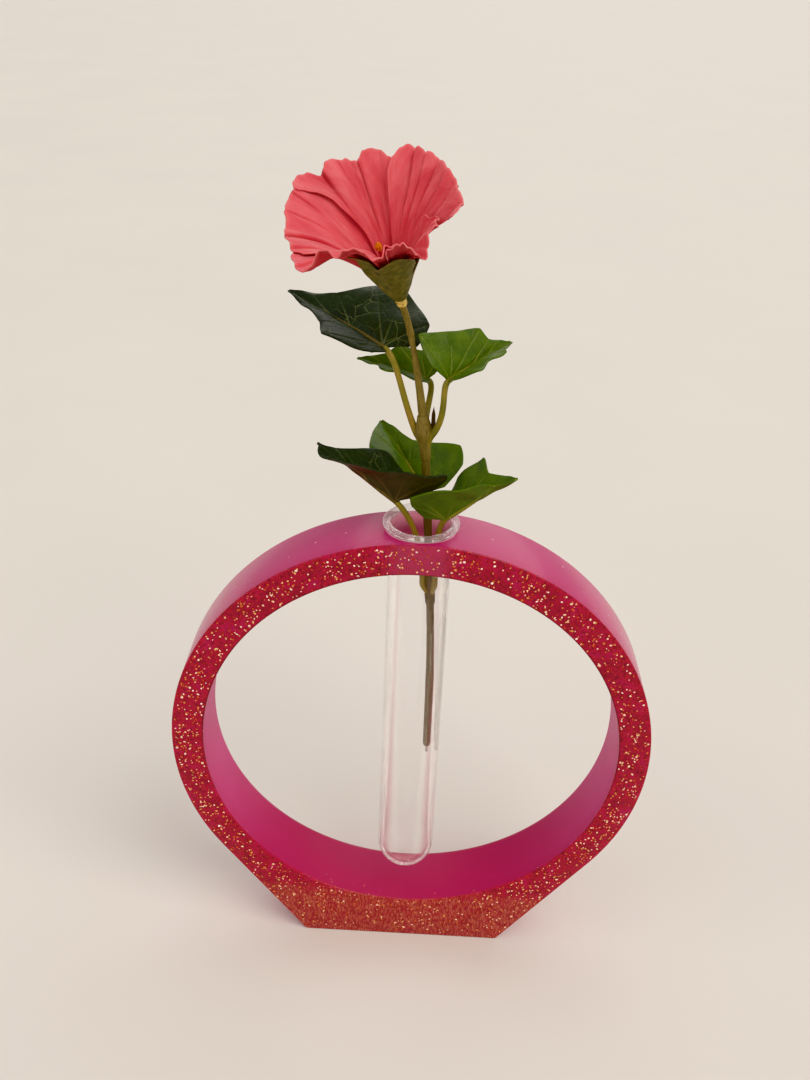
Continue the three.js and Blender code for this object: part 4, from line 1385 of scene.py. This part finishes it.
class StepOperator:
    """What all steps share: each builds its pieces from one group of settings."""
    bl_options = {"REGISTER", "UNDO"}

    def execute(self, context):
        self.build(getattr(context.scene, self.group))
        return {"FINISHED"}


class TUBEVASE_OT_ring(StepOperator, bpy.types.Operator):
    """Cast the resin ring and set the glitter in its front"""
    bl_idname = "tube_vase.ring"
    bl_label = "Resin Ring"
    group = "tube_vase_ring"

    def build(self, ring):
        resin = resin_finish(ring)
        piece = place_piece(make_ring(ring), "ring_cast", "ring", [resin], ["resin_ring"])
        bore_crown(piece, ring)
        place_piece(make_flakes(ring), "ring_glitter", "ring", [flake_finish()], crease=20)


class TUBEVASE_OT_tube(StepOperator, bpy.types.Operator):
    """Blow the glass test tube that hangs in the crown"""
    bl_idname = "tube_vase.tube"
    bl_label = "Glass Tube"
    group = "tube_vase_tube"

    def build(self, tube):
        glass = [glass_finish(tube), rim_finish(tube)]
        place_piece(make_tube(tube), "glass_tube", "tube", glass, ["test_tube"])


class TUBEVASE_OT_stem(StepOperator, bpy.types.Operator):
    """Make the coated stem and its steel core"""
    bl_idname = "tube_vase.stem"
    bl_label = "Stem"
    group = "tube_vase_spray"

    def build(self, spray):
        coating = stem_finish("stem_coating", spray.stem_brown, spray.stem_olive)
        place_piece(make_stem(spray), "stem_coated", "spray", [coating], ["main_stem"])
        place_piece(make_wire(spray), "stem_core", "spray", [wire_finish()], ["stem_wire"])


class TUBEVASE_OT_leaves(StepOperator, bpy.types.Operator):
    """Make both leaf whorls and their six leaves"""
    bl_idname = "tube_vase.leaves"
    bl_label = "Leaves"
    group = "tube_vase_spray"

    def build(self, spray):
        stalk = stalk_finish(spray)
        collar = stem_finish("collar_coating", spray.stem_brown, spray.stem_olive)
        bract = stem_finish("dry_bract", spray.bract_brown)
        dark_rib = stem_finish("dark_rib", paint(104, 92, 50))
        bright_rib = stem_finish("bright_rib", paint(146, 146, 62))
        lower = make_whorl(LOWER_WHORL, LOWER_LEAVES, 0, spray)
        upper = make_whorl(UPPER_WHORL, UPPER_LEAVES, 5, spray)
        add_bract(upper, UPPER_WHORL)
        for name, whorl in (("lower_leaf_whorl", lower), ("upper_leaf_whorl", upper)):
            place_piece(whorl, name + "_moulded", "spray", [collar, stalk, bract], [name])
        dark = [
            leaf_finish("dark_leaf_top", spray.leaf_dark, paint(122, 128, 88), paint(16, 28, 9), 0.55, 0.26),
            leaf_finish(
                "dark_leaf_under", paint(64, 58, 32), paint(108, 92, 52), paint(42, 40, 22), 0.3, 0.36)]
        bright = [
            leaf_finish(
                "bright_leaf_top", spray.leaf_bright, paint(150, 160, 66), paint(58, 88, 10), 0.3, 0.32),
            leaf_finish(
                "bright_leaf_under", paint(80, 106, 26), paint(128, 138, 62), paint(54, 80, 16), 0.25, 0.38)]
        for leaf in LOWER_LEAVES + UPPER_LEAVES:
            old = leaf.name.endswith("left")
            sides = dark if old else bright
            blade = place_piece(
                make_leaf(leaf), leaf.name + "_blade", "spray", sides, [leaf.name], crease=60)
            thicken(blade, spray.leaf_thickness, 1)
            place_piece(make_rib(leaf), leaf.name + "_rib", "spray", [dark_rib if old else bright_rib])


class TUBEVASE_OT_flower(StepOperator, bpy.types.Operator):
    """Make the flower head on its ferrule"""
    bl_idname = "tube_vase.flower"
    bl_label = "Flower"
    group = "tube_vase_flower"

    def build(self, flower):
        cream = ferrule_finish(flower)
        place_piece(make_ferrule(), "ferrule_sleeve", "spray", [cream], ["flower_ferrule"])
        skin = calyx_finish(flower)
        place_piece(make_calyx(flower), "calyx_cup", "flower_head", [skin], ["calyx"])
        cloth = petal_finish("petal_crepe", flower, 0.0, 0.35)
        # The petals' outside carries painted shade.
        shaded_outside = petal_finish("petal_crepe_outside", flower, 1.2, 0.1)
        for number, petal in enumerate(PETALS, 1):
            name = f"petal_{number}"
            fan = place_piece(
                make_petal(flower, petal), name + "_cloth", "flower_head", [cloth, shaded_outside], [name],
                crease=70)
            thicken(fan, flower.cloth_thickness, 1)
        place_piece(make_stamen_column(), "stamen_stalk", "flower_head", [cloth], ["stamen_column"])
        pollen = stamen_finish(flower)
        place_piece(make_stamen_tip(), "stamen_bud", "flower_head", [pollen], ["stamen_tip"])


class TUBEVASE_OT_stage(StepOperator, bpy.types.Operator):
    """Lay the floor, set the soft lights and the camera"""
    bl_idname = "tube_vase.stage"
    bl_label = "Stage"
    group = "tube_vase_stage"

    def build(self, stage):
        lay_floor(stage)
        hang_lamps(stage)
        stand_camera()
        bpy.context.scene.view_settings.view_transform = "Khronos PBR Neutral"


class TUBEVASE_PT_panel(bpy.types.Panel):
    """Steps and settings of the vase"""
    bl_label = "Tube Vase"
    bl_idname = "TUBEVASE_PT_panel"
    bl_space_type = "VIEW_3D"
    bl_region_type = "UI"
    bl_category = "Tube Vase"

    def draw(self, context):
        for step in STEPS:
            box = self.layout.box()
            box.operator(step.bl_idname)
            for name in SETTINGS[step.group].__annotations__:
                label = name.replace("_", " ").capitalize()
                box.prop(getattr(context.scene, step.group), name, text=label)


SETTINGS = {
    "tube_vase_ring": RingSettings,
    "tube_vase_tube": TubeSettings,
    "tube_vase_spray": SpraySettings,
    "tube_vase_flower": FlowerSettings,
    "tube_vase_stage": StageSettings,
}
STEPS = [
    TUBEVASE_OT_stage, TUBEVASE_OT_ring, TUBEVASE_OT_tube,
    TUBEVASE_OT_stem, TUBEVASE_OT_leaves, TUBEVASE_OT_flower,
]
CLASSES = [*SETTINGS.values(), *STEPS, TUBEVASE_PT_panel]


def register():
    for kind in CLASSES:
        bpy.utils.register_class(kind)
    for name, kind in SETTINGS.items():
        setattr(bpy.types.Scene, name, PointerProperty(type=kind))


def unregister():
    for name in SETTINGS:
        delattr(bpy.types.Scene, name)
    for kind in reversed(CLASSES):
        bpy.utils.unregister_class(kind)


def main():
    register()
    bpy.ops.tube_vase.stage()
    bpy.ops.tube_vase.ring()
    bpy.ops.tube_vase.tube()
    bpy.ops.tube_vase.stem()
    bpy.ops.tube_vase.leaves()
    bpy.ops.tube_vase.flower()


if __name__ == "__main__":
    main()
